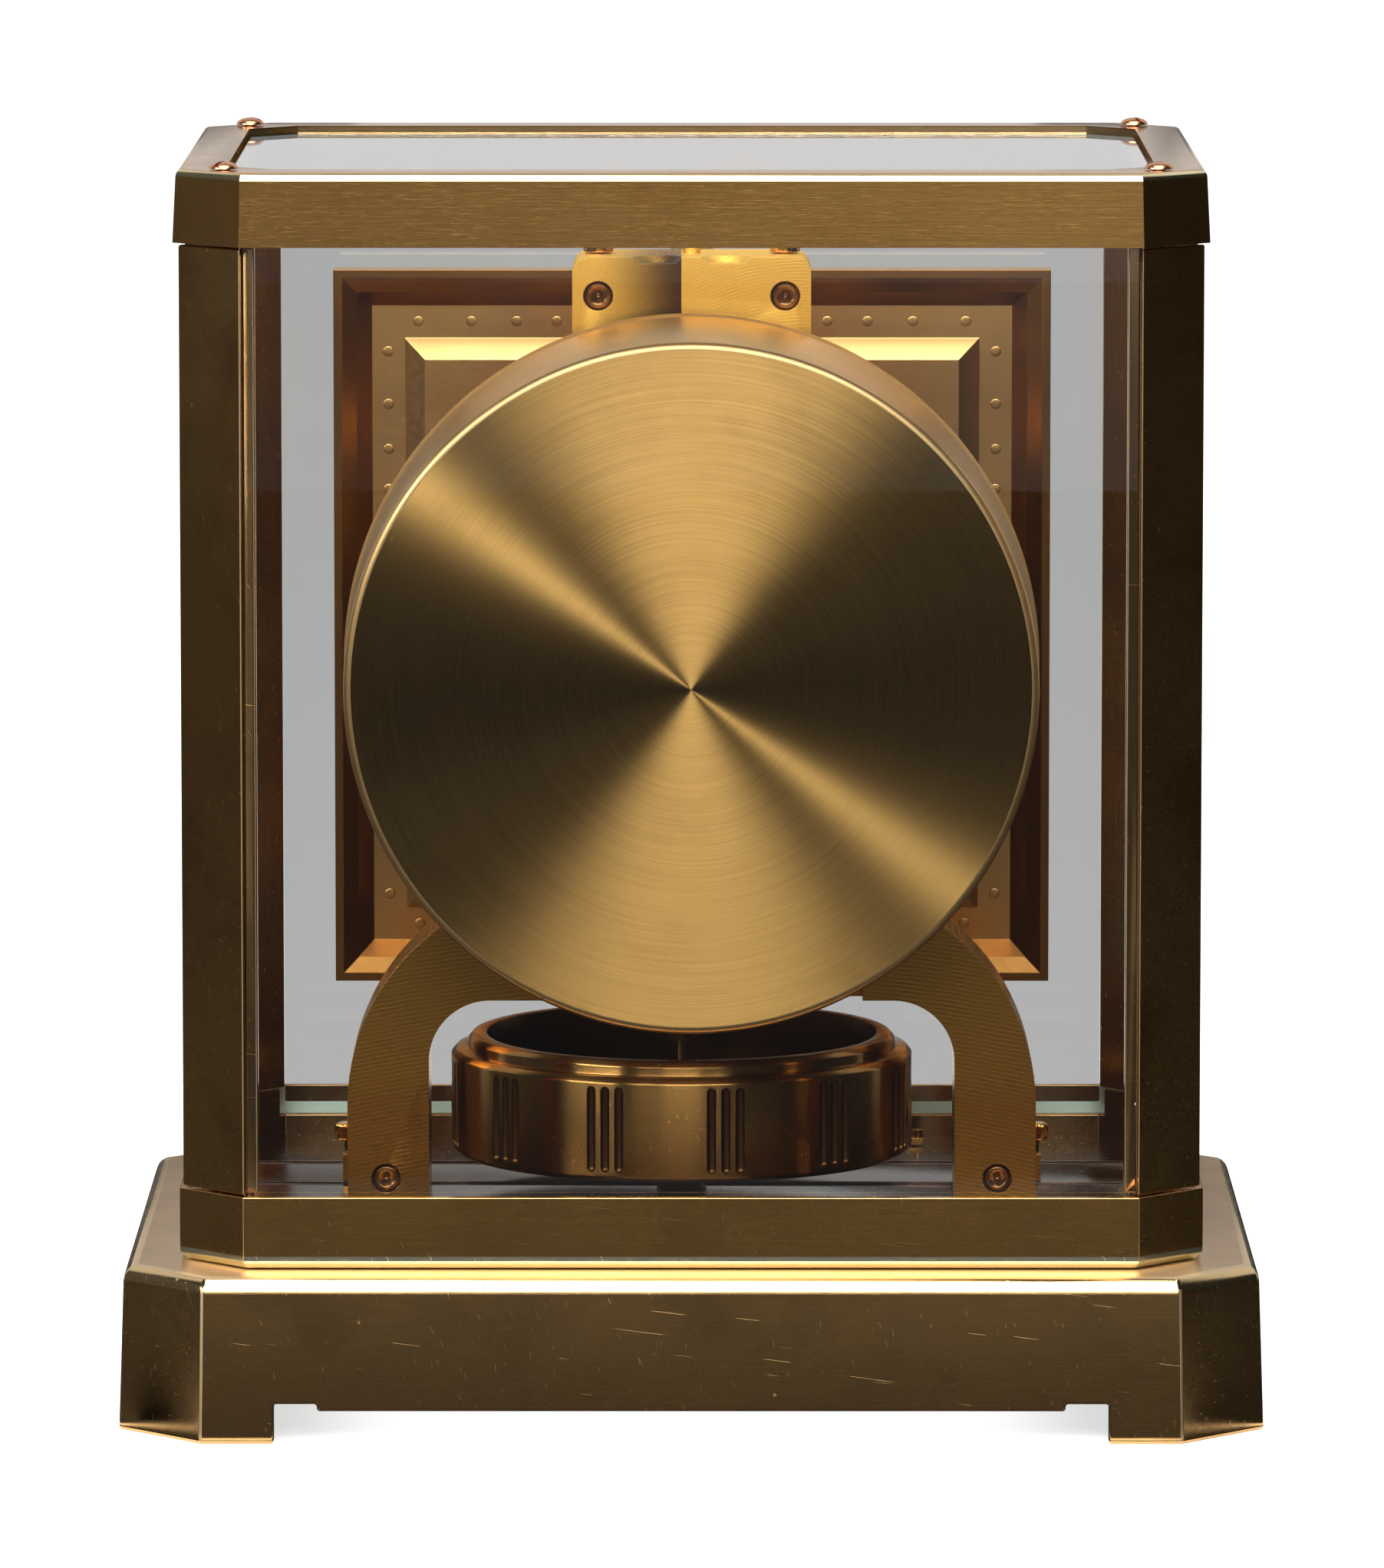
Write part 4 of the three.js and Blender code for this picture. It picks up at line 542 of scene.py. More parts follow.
@dataclass(frozen=True)
class PaintFinish(Finish):
    """Satin paint with fine dust marks."""

    roughness: float = 0.35
    wear: float = 0.5
    dust: float = 0.3
    dust_roughness: float = 0.2
    dust_gain: float = 3.0
    dust_floor: float = 0.02

    def surface(self, bench: MaterialBench) -> Socket:
        """Adds the paint with its dust."""
        wear = bench.effect("handling wear", bench.place(), Density=self.wear)
        lighter = tuple(min(1.0, self.dust_gain * tone + self.dust_floor) for tone in self.colour)
        dusty = bench.times(wear["Stains"], self.dust)
        tint = bench.blend_colours(dusty, self.colour, lighter)
        rough = bench.times(wear["Stains"], self.dust_roughness, self.roughness)
        paint = bench.add("ShaderNodeBsdfPrincipled", {"Base Color": tint, "Roughness": rough})
        return paint.outputs["BSDF"]


DRUM_CENTRE = (0.0, 0.0, 0.1364)
BALANCE_CENTRE = (0.0019, 0.003, 0.05)

CASE_BRASS = MetalFinish(
    "brushed case brass", (0.72, 0.41, 0.14), (0.40, 0.19, 0.055), roughness=0.11,
    grain_depth=0.000004, roughness_spread=0.06, tone_spread=0.3, ripple=0.00006, stains=0.3,
    scratches=0.5,
)
# Worn base brass, with a painted highlight band along the rounded top edge.
BASE_BRASS = MetalFinish(
    "worn base brass", (0.68, 0.41, 0.16), (0.32, 0.18, 0.07), roughness=0.12,
    grain_depth=0.000003, roughness_spread=0.06, tone_spread=0.25, ripple=0.00006, stains=0.45,
    scratches=0.8, dull_above=0.0303, highlight_span=(0.0276, 0.0306), highlight_share=0.5,
)
# Rim brass with a painted highlight line along the bevel at its bottom edge.
RIM_BRASS = replace(
    CASE_BRASS, name="brushed rim brass", highlight_span=(0.0296, 0.0332), highlight_colour=(1.0, 1.0, 0.75),
    highlight_share=1.0,
)
INNER_BRASS = replace(RIM_BRASS, name="shaded rim brass", colour=(0.34, 0.21, 0.10))
# Frame brass with a painted highlight band along its top edge.
FRAME_BRASS = replace(
    CASE_BRASS, name="brushed frame brass", highlight_span=(0.2296, 0.2310), scratches=0.25,
    highlight_colour=(1.0, 0.85, 0.52), highlight_share=1.0, tone_spread=0.45,
)
# Worn edge brass, paler than the case brass: partly wear, partly a painted highlight along the
# upright edges.
WORN_HIGHLIGHT_BRASS = MetalFinish(
    "worn edge brass", (0.70, 0.49, 0.27), (0.45, 0.29, 0.13), roughness=0.46,
    grain_depth=0.000001, roughness_spread=0.05, stains=0.2, scratches=0.2,
)
PILLAR_BRASS = MetalFinish(
    "polished pillar brass", (0.62, 0.36, 0.13), (0.22, 0.10, 0.035), roughness=0.1,
    stretch=(2200.0, 2200.0, 30.0), grain_depth=0.000003, ripple=0.0003, stains=0.5,
    scratches=0.6,
)
MILLED_BRASS = MetalFinish(
    "milled movement brass", (0.86, 0.43, 0.08), (0.22, 0.09, 0.012), roughness=0.26,
    grain=Grain.MILLED, centre=(0.0, 0.0, -0.25), spacing=0.0008, grain_depth=0.000008,
    tone_spread=0.75, stains=0.0, scratches=0.1,
)
# Block brass with painted shade on one half of its face, darkest at the middle line and fading out
# outwards.
BLOCK_BRASS = MetalFinish(
    "milled block brass", (0.97, 0.60, 0.12), (0.10, 0.045, 0.012), roughness=0.55,
    grain=Grain.MILLED, centre=(-0.02, 0.0, 0.17), spacing=0.0006, grain_depth=0.000015,
    tone_spread=0.1, stains=0.05, scratches=0.2, painted_shade_from=0.0019, painted_shade_reach=0.0175,
)
TURNED_BRASS = MetalFinish(
    "turned movement brass", (0.80, 0.47, 0.13), (0.5, 0.25, 0.06), roughness=0.22,
    grain=Grain.TURNED, centre=BALANCE_CENTRE, axis=Axis.UPRIGHT, grain_depth=0.000004,
)
DRUM_BRASS = MetalFinish(
    "turned drum brass", (0.60, 0.35, 0.105), (0.25, 0.135, 0.038), roughness=0.32,
    grain=Grain.TURNED, centre=DRUM_CENTRE, spacing=0.0002, grain_depth=0.000002,
    roughness_spread=0.05, tone_spread=0.36, anisotropy=1.0, stains=0.25, scratches=0.3,
)
DRUM_EDGE_BRASS = MetalFinish(
    "polished drum edge", (0.68, 0.44, 0.19), (0.4, 0.24, 0.09), roughness=0.36,
    grain=Grain.TURNED, centre=DRUM_CENTRE, spacing=0.00042, grain_depth=0.0000004,
    roughness_spread=0.04, tone_spread=0.06, stains=0.15, scratches=0.05,
)
RING_BRASS = MetalFinish(
    "turned balance brass", (0.45, 0.24, 0.07), (0.23, 0.115, 0.03), roughness=0.21,
    stretch=(60.0, 60.0, 7200.0), axis=Axis.UPRIGHT, grain_depth=0.000001, anisotropy=0.95,
    roughness_spread=0.03, tone_spread=0.1, stains=0.2, scratches=0.2,
)
DARK_BRASS = MetalFinish(
    "shaded groove brass", (0.13, 0.055, 0.016), (0.04, 0.018, 0.006), roughness=0.3,
    stretch=(60.0, 60.0, 5200.0), grain_depth=0.000001,
)
DIAL_GOLD = MetalFinish(
    "matt dial gold", (0.74, 0.45, 0.17), (0.50, 0.28, 0.09), roughness=0.3,
    stretch=(700.0, 700.0, 700.0), grain_depth=0.000002, stains=0.25, scratches=0.1,
)
DIAL_SHADE = replace(
    DIAL_GOLD, name="shaded dial cove", colour=(0.30, 0.14, 0.035), stain_and_shade=(0.1, 0.045, 0.012)
)
SMALL_BRASS = MetalFinish(
    "polished screw brass", (0.80, 0.45, 0.13), (0.38, 0.17, 0.04), roughness=0.13,
    stretch=(900.0, 900.0, 900.0), grain_depth=0.0000005, roughness_spread=0.05, scratches=0.2,
)
# Darker copy of the screw brass, painted shade for the screws sunk in pockets.
SUNK_BRASS = replace(
    SMALL_BRASS, name="aged sunk screw", colour=(0.36, 0.19, 0.07), stain_and_shade=(0.1, 0.05, 0.02),
    roughness=0.26,
)
COPPER = MetalFinish(
    "worn copper", (0.72, 0.34, 0.17), (0.35, 0.13, 0.06), roughness=0.18,
    stretch=(900.0, 900.0, 900.0), grain_depth=0.0000005, scratches=0.4,
)
STEEL = MetalFinish(
    "polished steel", (0.56, 0.55, 0.54), (0.3, 0.28, 0.26), roughness=0.2,
    stretch=(900.0, 900.0, 900.0), grain_depth=0.0000005, stains=0.2,
)
FLOOR_METAL = MetalFinish(
    "dark polished floor", (0.10, 0.065, 0.048), (0.05, 0.03, 0.02), roughness=0.12,
    stretch=(30.0, 2400.0, 2400.0), grain_depth=0.000002, stains=0.5, scratches=0.5,
)
DARK_METAL = MetalFinish(
    "dark oxidised metal", (0.09, 0.07, 0.06), (0.2, 0.1, 0.05), roughness=0.3
)
CLEAR_GLASS = GlassFinish("clear case glass")
BEVEL_GLASS = GlassFinish("pale glass bevel", (0.70, 0.98, 0.84), roughness=0.4, clearness=0.4)
VIAL_GLASS = GlassFinish("pale vial glass", (0.72, 0.88, 0.62))
HAND_BLACK = PaintFinish("black hand paint", (0.02, 0.017, 0.014))


# Mesh work


def linked(name: str, data: bpy.types.ID) -> Piece:
    """Returns a new object of the scene that holds a mesh, lamp or camera."""
    piece = bpy.data.objects.new(name, data)
    bpy.context.scene.collection.objects.link(piece)
    return piece


def rounded_profile(profile: Profile, radius: float, steps: int = 3) -> Profile:
    """Rounds the corners of a profile.

    Args:
        profile: Points of radius and height, in mm.
        radius: How far a rounding reaches along each side, in mm.
        steps: How many sides each rounding has.

    Returns:
        The profile with its inner corners rounded.
    """
    result = [profile[0]]
    for before, here, after in zip(profile, profile[1:], profile[2:]):
        corner = Vector(here)
        back, ahead = Vector(before) - corner, Vector(after) - corner
        shortest = min(back.length, ahead.length)
        if shortest < SMALLEST or math.pi - back.angle(ahead) < STRAIGHT_ENOUGH:
            result.append(here)
            continue
        start = corner + back.normalized() * min(radius, back.length * CORNER_SHARE)
        end = corner + ahead.normalized() * min(radius, ahead.length * CORNER_SHARE)
        for step in range(steps + 1):
            share = step / steps
            spot = start.lerp(corner, share).lerp(corner.lerp(end, share), share)
            result.append((spot.x, spot.y))
    result.append(profile[-1])
    return result


def quarter_turn(steps: int) -> list[Pair]:
    """Returns the cosine and the sine at even steps of a quarter turn."""
    angles = [math.pi / 2 * step / steps for step in range(steps + 1)]
    return [(math.cos(angle), math.sin(angle)) for angle in angles]


@dataclass(frozen=True)
class Flutes:
    """Shallow grooves round the widest part of a turned piece."""

    count: int
    depth: float
    past: float

    def cut(self, radius: float, angle: float) -> float:
        """Returns a radius in mm, less the groove that it meets at an angle."""
        if radius < self.past:
            return radius
        return radius - self.depth * (0.5 - 0.5 * math.cos(self.count * angle))


def turned_mesh(
    name: str,
    profile: Profile,
    axis: Axis,
    centre: Pair,
    steps: int = 96,
    flutes: Flutes = Flutes(0, 0.0, 0.0),
) -> Mesh:
    """Turns a profile round an axis.

    Args:
        name: The mesh's name.
        profile: Points of radius and height along the axis, in mm. It starts and ends on the
            axis, or closes on itself.
        axis: The axis that it is turned round.
        centre: Where the axis stands, in mm: X and Y when upright, X and Z along the depth.
        steps: How many sides the turned piece has.
        flutes: Grooves round its widest part.

    Returns:
        A closed mesh in metres.
    """
    work = bmesh.new()
    closed = profile[0] == profile[-1]
    points = profile[:-1] if closed else profile
    rings = []
    for radius, height in points:
        count = steps if radius > SMALLEST else 1
        ring = []
        for step in range(count):
            angle = 2 * math.pi * step / steps
            reach = flutes.cut(radius, angle)
            across, aside = reach * math.cos(angle), reach * math.sin(angle)
            if axis is Axis.UPRIGHT:
                spot = (centre[0] + across, centre[1] + aside, height)
            else:
                spot = (centre[0] + across, height, centre[1] + aside)
            ring.append(work.verts.new(Vector(spot) * MM))
        rings.append(ring)
    pairs = list(zip(rings, rings[1:]))
    if closed:
        pairs.append((rings[-1], rings[0]))
    for low, high in pairs:
        for step in range(steps):
            following = (step + 1) % steps
            corners = [low[step % len(low)], low[following % len(low)]]
            corners += [high[following % len(high)], high[step % len(high)]]
            unique = list(dict.fromkeys(corners))
            if len(unique) > 2:
                work.faces.new(unique)
    bmesh.ops.recalc_face_normals(work, faces=work.faces)
    return smooth_mesh(name, work)


def smooth_mesh(name: str, work: bmesh.types.BMesh, sharp: float = 32.0) -> Mesh:
    """Turns finished mesh work into a mesh with smooth faces and sharp edges.

    Args:
        name: The mesh's name.
        work: The mesh work, which is freed.
        sharp: Angle in degrees above which an edge stays sharp.

    Returns:
        The mesh.
    """
    mesh = bpy.data.meshes.new(name)
    for face in work.faces:
        face.smooth = True
    work.to_mesh(mesh)
    work.free()
    mesh.set_sharp_from_angle(angle=math.radians(sharp))
    return mesh


def evaluated_mesh(piece: Piece) -> Mesh:
    """Returns the mesh that a piece has after its modifiers, which are then removed."""
    graph = bpy.context.evaluated_depsgraph_get()
    graph.update()
    mesh = bpy.data.meshes.new_from_object(
        piece.evaluated_get(graph), preserve_all_data_layers=True, depsgraph=graph
    )
    piece.modifiers.clear()
    return mesh


def node_box(node: str) -> tuple[Vector, Vector]:
    """Returns the low and the high corner of a frame node, in mm."""
    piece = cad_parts[node]
    spots = [piece.matrix_world @ vertex.co / MM for vertex in piece.data.vertices]
    low = Vector([min(spot[side] for spot in spots) for side in range(3)])
    high = Vector([max(spot[side] for spot in spots) for side in range(3)])
    return low, high


def carved_mesh(name: str, blank: Mesh, tool: Mesh) -> Mesh:
    """Cuts one mesh out of another.

    Args:
        name: The result's name.
        blank: What is cut.
        tool: What is taken away.

    Returns:
        The cut mesh.
    """
    holder = linked(name, blank)
    cutter = linked(f"{name}_tool", tool)
    modifier = holder.modifiers.new("cut", "BOOLEAN")
    modifier.operation = "DIFFERENCE"
    modifier.solver = "EXACT"
    modifier.object = cutter
    work = bmesh.new()
    work.from_mesh(evaluated_mesh(holder))
    for piece in (holder, cutter):
        bpy.data.objects.remove(piece)
    return smooth_mesh(name, work, sharp=30.0)


def merged_copy(node: str) -> bmesh.types.BMesh:
    """Returns mesh work with a frame node's shape, its corners merged and its flats joined."""
    work = bmesh.new()
    work.from_mesh(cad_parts[node].data)
    bmesh.ops.remove_doubles(work, verts=work.verts, dist=MERGE_REACH)
    bmesh.ops.dissolve_limit(work, angle_limit=FLATNESS, verts=work.verts, edges=work.edges)
    return work


class GrowthTree(NodeBench):
    """Geometry tree with named sizes, which grows one mesh."""

    def __init__(self, name: str) -> None:
        """Opens a new tree.

        Args:
            name: Name of the tree and of what it grows.
        """
        tree = bpy.data.node_groups.new(name, "GeometryNodeTree")
        super().__init__(tree)
        self.name = name
        self.values: dict[str, object] = {}
        tree.interface.new_socket("Geometry", in_out="OUTPUT", socket_type="NodeSocketGeometry")
        self.entry = tree.nodes.new("NodeGroupInput")

    def size(self, title: str, value: float | Piece) -> Socket:
        """Adds a named input.

        Args:
            title: The input's name.
            value: What the modifier sets it to.

        Returns:
            The input's socket inside the tree.
        """
        kinds = {int: "Int", float: "Float", Piece: "Object"}
        kind = f"NodeSocket{kinds[type(value)]}"
        item = self.tree.interface.new_socket(title, in_out="INPUT", socket_type=kind)
        self.values[item.identifier] = value
        return self.entry.outputs[title]

    def grow(self, geometry: Socket, finish: Finish) -> Mesh:
        """Ends the tree and makes its mesh.

        Args:
            geometry: What the tree has made.
            finish: Finish of the whole mesh.

        Returns:
            A plain mesh.
        """
        real = self.add("GeometryNodeRealizeInstances", {"Geometry": geometry})
        dressed = self.add(
            "GeometryNodeSetMaterial",
            {"Geometry": real.outputs["Geometry"], "Material": finish.material()},
        )
        self.add("NodeGroupOutput", {"Geometry": dressed.outputs["Geometry"]})
        holder = linked(self.name, bpy.data.meshes.new(self.name))
        modifier = holder.modifiers.new("growth", "NODES")
        modifier.node_group = self.tree
        for identifier, value in self.values.items():
            modifier[identifier] = value
        mesh = evaluated_mesh(holder)
        bpy.data.objects.remove(holder)
        return mesh


class Workshop:
    """Makes pieces, dresses them and sets them on their bodies."""

    def __init__(self) -> None:
        """Starts with no pieces made."""
        self.count = 0

    def set_piece(
        self, mesh: Mesh, body: str, slot: str, finish: Finish, nodes: Sequence[str]
    ) -> Piece:
        """Puts a finished mesh in the scene.

        Args:
            mesh: The piece's mesh, in place and in metres.
            body: Frame body that it rides on.
            slot: Material slot of the record that its finish stands for; not used.
            finish: The finish it gets.
            nodes: Frame nodes that it stands for.

        Returns:
            The piece.
        """
        piece = linked(mesh.name, mesh)
        mesh.materials.clear()
        mesh.materials.append(finish.material())
        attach(piece, body)
        if nodes:
            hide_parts(*nodes)
        self.count += 1
        LOG.info("%s: %d faces, %s", piece.name, len(mesh.polygons), finish.name)
        return piece

    def add_finish(
        self,
        piece: Piece,
        finish: Finish,
        chosen: Callable[[Face], bool],
    ) -> None:
        """Gives some faces of a piece one more finish.

        Args:
            piece: The piece.
            finish: The finish.
            chosen: Tells which faces get it.
        """
        piece.data.materials.append(finish.material())
        last = len(piece.data.materials) - 1
        for face in piece.data.polygons:
            face.material_index = last if chosen(face) else min(face.material_index, last - 1)

    def refine(
        self,
        node: str,
        body: str,
        slot: str,
        finish: Finish,
        bevel: float = 0.3,
        segments: int = 3,
        flat: bool = False,
    ) -> Piece:
        """Makes a frame node's shape again with softened edges.

        Args:
            node: The frame node.
            body: Frame body that the piece rides on.
            slot: Material slot of the record; not used.
            finish: The finish it gets.
            bevel: Width of the softened edges, in mm.
            segments: How many sides a softened edge has.
            flat: Whether every face stays flat, as glass and the dial need.

        Returns:
            The piece.
        """
        mesh = smooth_mesh(f"{node}_dressed", merged_copy(node))
        holder = linked(f"{node}_work", mesh)
        modifier = holder.modifiers.new("soft edges", "BEVEL")
        modifier.width = bevel * MM
        modifier.segments = segments
        modifier.limit_method = "ANGLE"
        modifier.angle_limit = BEVEL_FROM
        modifier.harden_normals = not flat
        done = evaluated_mesh(holder)
        if flat:
            done.shade_flat()
        bpy.data.objects.remove(holder)
        bpy.data.meshes.remove(mesh)
        done.name = f"{node}_dressed"
        return self.set_piece(done, body, slot, finish, [node])

    def turn(
        self,
        node: str,
        body: str,
        slot: str,
        finish: Finish,
        profile: Profile,
        axis: Axis = Axis.UPRIGHT,
        rounding: float = 0.15,
        steps: int = 64,
        flutes: Flutes = Flutes(0, 0.0, 0.0),
    ) -> Piece:
        """Makes a turned piece in place of a frame node, round the middle of its box.

        Args:
            node: The frame node.
            body: Frame body that the piece rides on.
            slot: Material slot of the record; not used.
            finish: The finish it gets.
            profile: Points of radius and height, in mm, which is joined to the axis at both ends.
            axis: The axis that it is turned round.
            rounding: How far its corners are rounded, in mm.
            steps: How many sides the turned piece has.
            flutes: Grooves round its widest part.

        Returns:
            The piece.
        """
        low, high = node_box(node)
        middle = (low + high) / 2
        centre = (middle.x, middle.y if axis is Axis.UPRIGHT else middle.z)
        whole = [(0.0, profile[0][1]), *profile]
        if profile[-1][0]:
            whole.append((0.0, profile[-1][1]))
        rounded = rounded_profile(whole, rounding)
        mesh = turned_mesh(f"{node}_turned", rounded, axis, centre, steps, flutes)
        return self.set_piece(mesh, body, slot, finish, [node])


@dataclass(frozen=True)
class SlottedScrew:
    """Domed screw with a slot across its head, head up."""

    node: str
    slot_turn: float
    radius: float = 2.65
    rise: float = 1.3
    shank: float = 1.2
    slot_width: float = 0.7
    slot_depth: float = 0.7
    overrun: float = 1.0
    dome_steps: int = 10

    def build(self, shop: Workshop) -> None:
        """Turns the screw and cuts its slot."""
        low, high = node_box(self.node)
        middle = (low + high) / 2
        seat = high.z - self.rise
        profile = [(0.0, low.z), (self.shank, low.z), (self.shank, seat), (self.radius, seat)]
        for across, up in quarter_turn(self.dome_steps)[1:]:
            profile.append((self.radius * across, seat + self.rise * up))
        profile[-1] = (0.0, high.z)
        centre = (middle.x, middle.y)
        blank = turned_mesh(f"{self.node}_blank", profile, Axis.UPRIGHT, centre, steps=64)
        work = bmesh.new()
        size = (2 * self.radius + self.overrun, self.slot_width, 2 * self.slot_depth)
        place = Matrix.Translation(Vector((*centre, high.z)) * MM)
        turn = Matrix.Rotation(self.slot_turn * math.pi, 4, "Z")
        bmesh.ops.create_cube(work, size=MM, matrix=place @ turn @ Matrix.Diagonal((*size, 1.0)))
        slot = smooth_mesh(f"{self.node}_slot", work)
        mesh = carved_mesh(f"{self.node}_slotted", blank, slot)
        shop.set_piece(mesh, "case", "copper", COPPER, [self.node])


@dataclass(frozen=True)
class SunkScrew:
    """Round screw in a pocket, with a tapering socket in its face."""

    node: str
    radius: float = 2.5
    chamfer: float = 0.5
    land: float = 1.7
    socket: float = 1.2
    depth: float = 1.6
    taper: float = 0.8
    step: float = 0.6
    tip: float = 0.3

    def build(self, shop: Workshop) -> None:
        """Turns the screw."""
        low, high = node_box(self.node)
        face = high.y
        profile = [
            (self.radius, low.y), (self.radius, face - self.chamfer),
            (self.radius - self.chamfer, face), (self.land, face),
            (self.socket, face - self.chamfer),
            (self.socket * self.taper, face - self.depth * self.step),
            (self.socket * self.tip, face - self.depth),
        ]
        slot = "movement_brass"
        shop.turn(
            self.node, "case", slot, SUNK_BRASS, profile, Axis.DEPTH, rounding=0.12, steps=48
        )


# Studio

# Each lamp's name, place, size, glow and the direction of its width
LAMPS = (
    ("ceiling_softbox", (0.0, 0.85, 1.45), (1.5, 2.4), 5.0, (1, 0, 0)),
    ("front_softbox", (0.0, 2.4, 1.0), (0.8, 0.6), 3.0, (1, 0, 0)),
    ("strip_softbox", (2.35, 1.81, 1.51), (0.26, 2.1), 30.0, (-0.507, 0, 0.862)),
)
# Each card's name, corner, two sides and glow
CARDS = (
    ("left_back_card", (0.1, -1.2, 0), (0.9, 0, 0), (0, 0, 0.29), 0.07),
    ("right_back_card", (-1.0, -1.2, 0), (0.9, 0, 0), (0, 0, 0.29), 0.07),
    ("under_card", (-0.106, -0.081, 0.0006), (0.212, 0, 0), (0, 0.162, 0), 0.04),
    ("near_floor_card", (-0.3, 0.081, 0.001), (0.6, 0, 0), (0, 0.169, 0), 0.065),
    ("rim_floor_card", (-0.3, 0.25, 0.001), (0.6, 0, 0), (0, 0.11, 0), 0.22),
    ("far_floor_card", (-0.3, 0.36, 0.001), (0.6, 0, 0), (0, 2.34, 0), 0.06),
    ("left_floor_card", (0.3, 0.081, 0.001), (1.3, 0, 0), (0, 2.62, 0), 0.02),
    ("left_far_floor_card", (1.6, 0.081, 0.001), (1.5, 0, 0), (0, 2.62, 0), 0.14),
    ("right_floor_card", (-3.1, 0.081, 0.001), (2.8, 0, 0), (0, 2.62, 0), 0.012),
    ("left_near_side_card", (0.106, -1.0, 0.001), (0.494, 0, 0), (0, 1.08, 0), 0.08),
    ("left_line_card", (0.106, 0.068, 0.0016), (0.494, -0.0236, 0), (0, 0.007, 0), 0.0),
    ("left_side_card", (0.6, -1.0, 0.001), (1.9, 0, 0), (0, 1.08, 0), 0.06),
    ("left_far_side_card", (2.5, -1.0, 0.001), (0.6, 0, 0), (0, 1.08, 0), 0.13),
    ("left_low_wall_card", (3.099, -1.2, 0), (0, 1.3, 0), (0, 0, 0.25), 0.13),
    ("right_side_card", (-3.1, -1.0, 0.001), (2.994, 0, 0), (0, 1.08, 0), 0.03),
    ("front_wall_card", (-0.08, 2.7, 0), (0.16, 0, 0), (0, 0, 0.5), 0.32),
    ("left_front_card", (0.08, 2.7, 0), (0.32, 0, 0), (0, 0, 0.5), 0.23),
    ("right_front_card", (-0.4, 2.7, 0), (0.32, 0, 0), (0, 0, 0.5), 0.39),
    ("upper_wall_card", (-3.1, 2.701, 0), (6.2, 0, 0), (0, 0, 2.6), 0.03),
    ("left_wall_card", (3.1, -1.2, 0), (0, 3.9, 0), (0, 0, 2.6), 0.07),
    ("right_wall_card", (-3.1, -1.2, 0), (0, 3.9, 0), (0, 0, 2.6), 0.02),
    ("roof_card", (-3.1, -1.2, 2.6), (6.2, 0, 0), (0, 3.9, 0), 0.03),
)


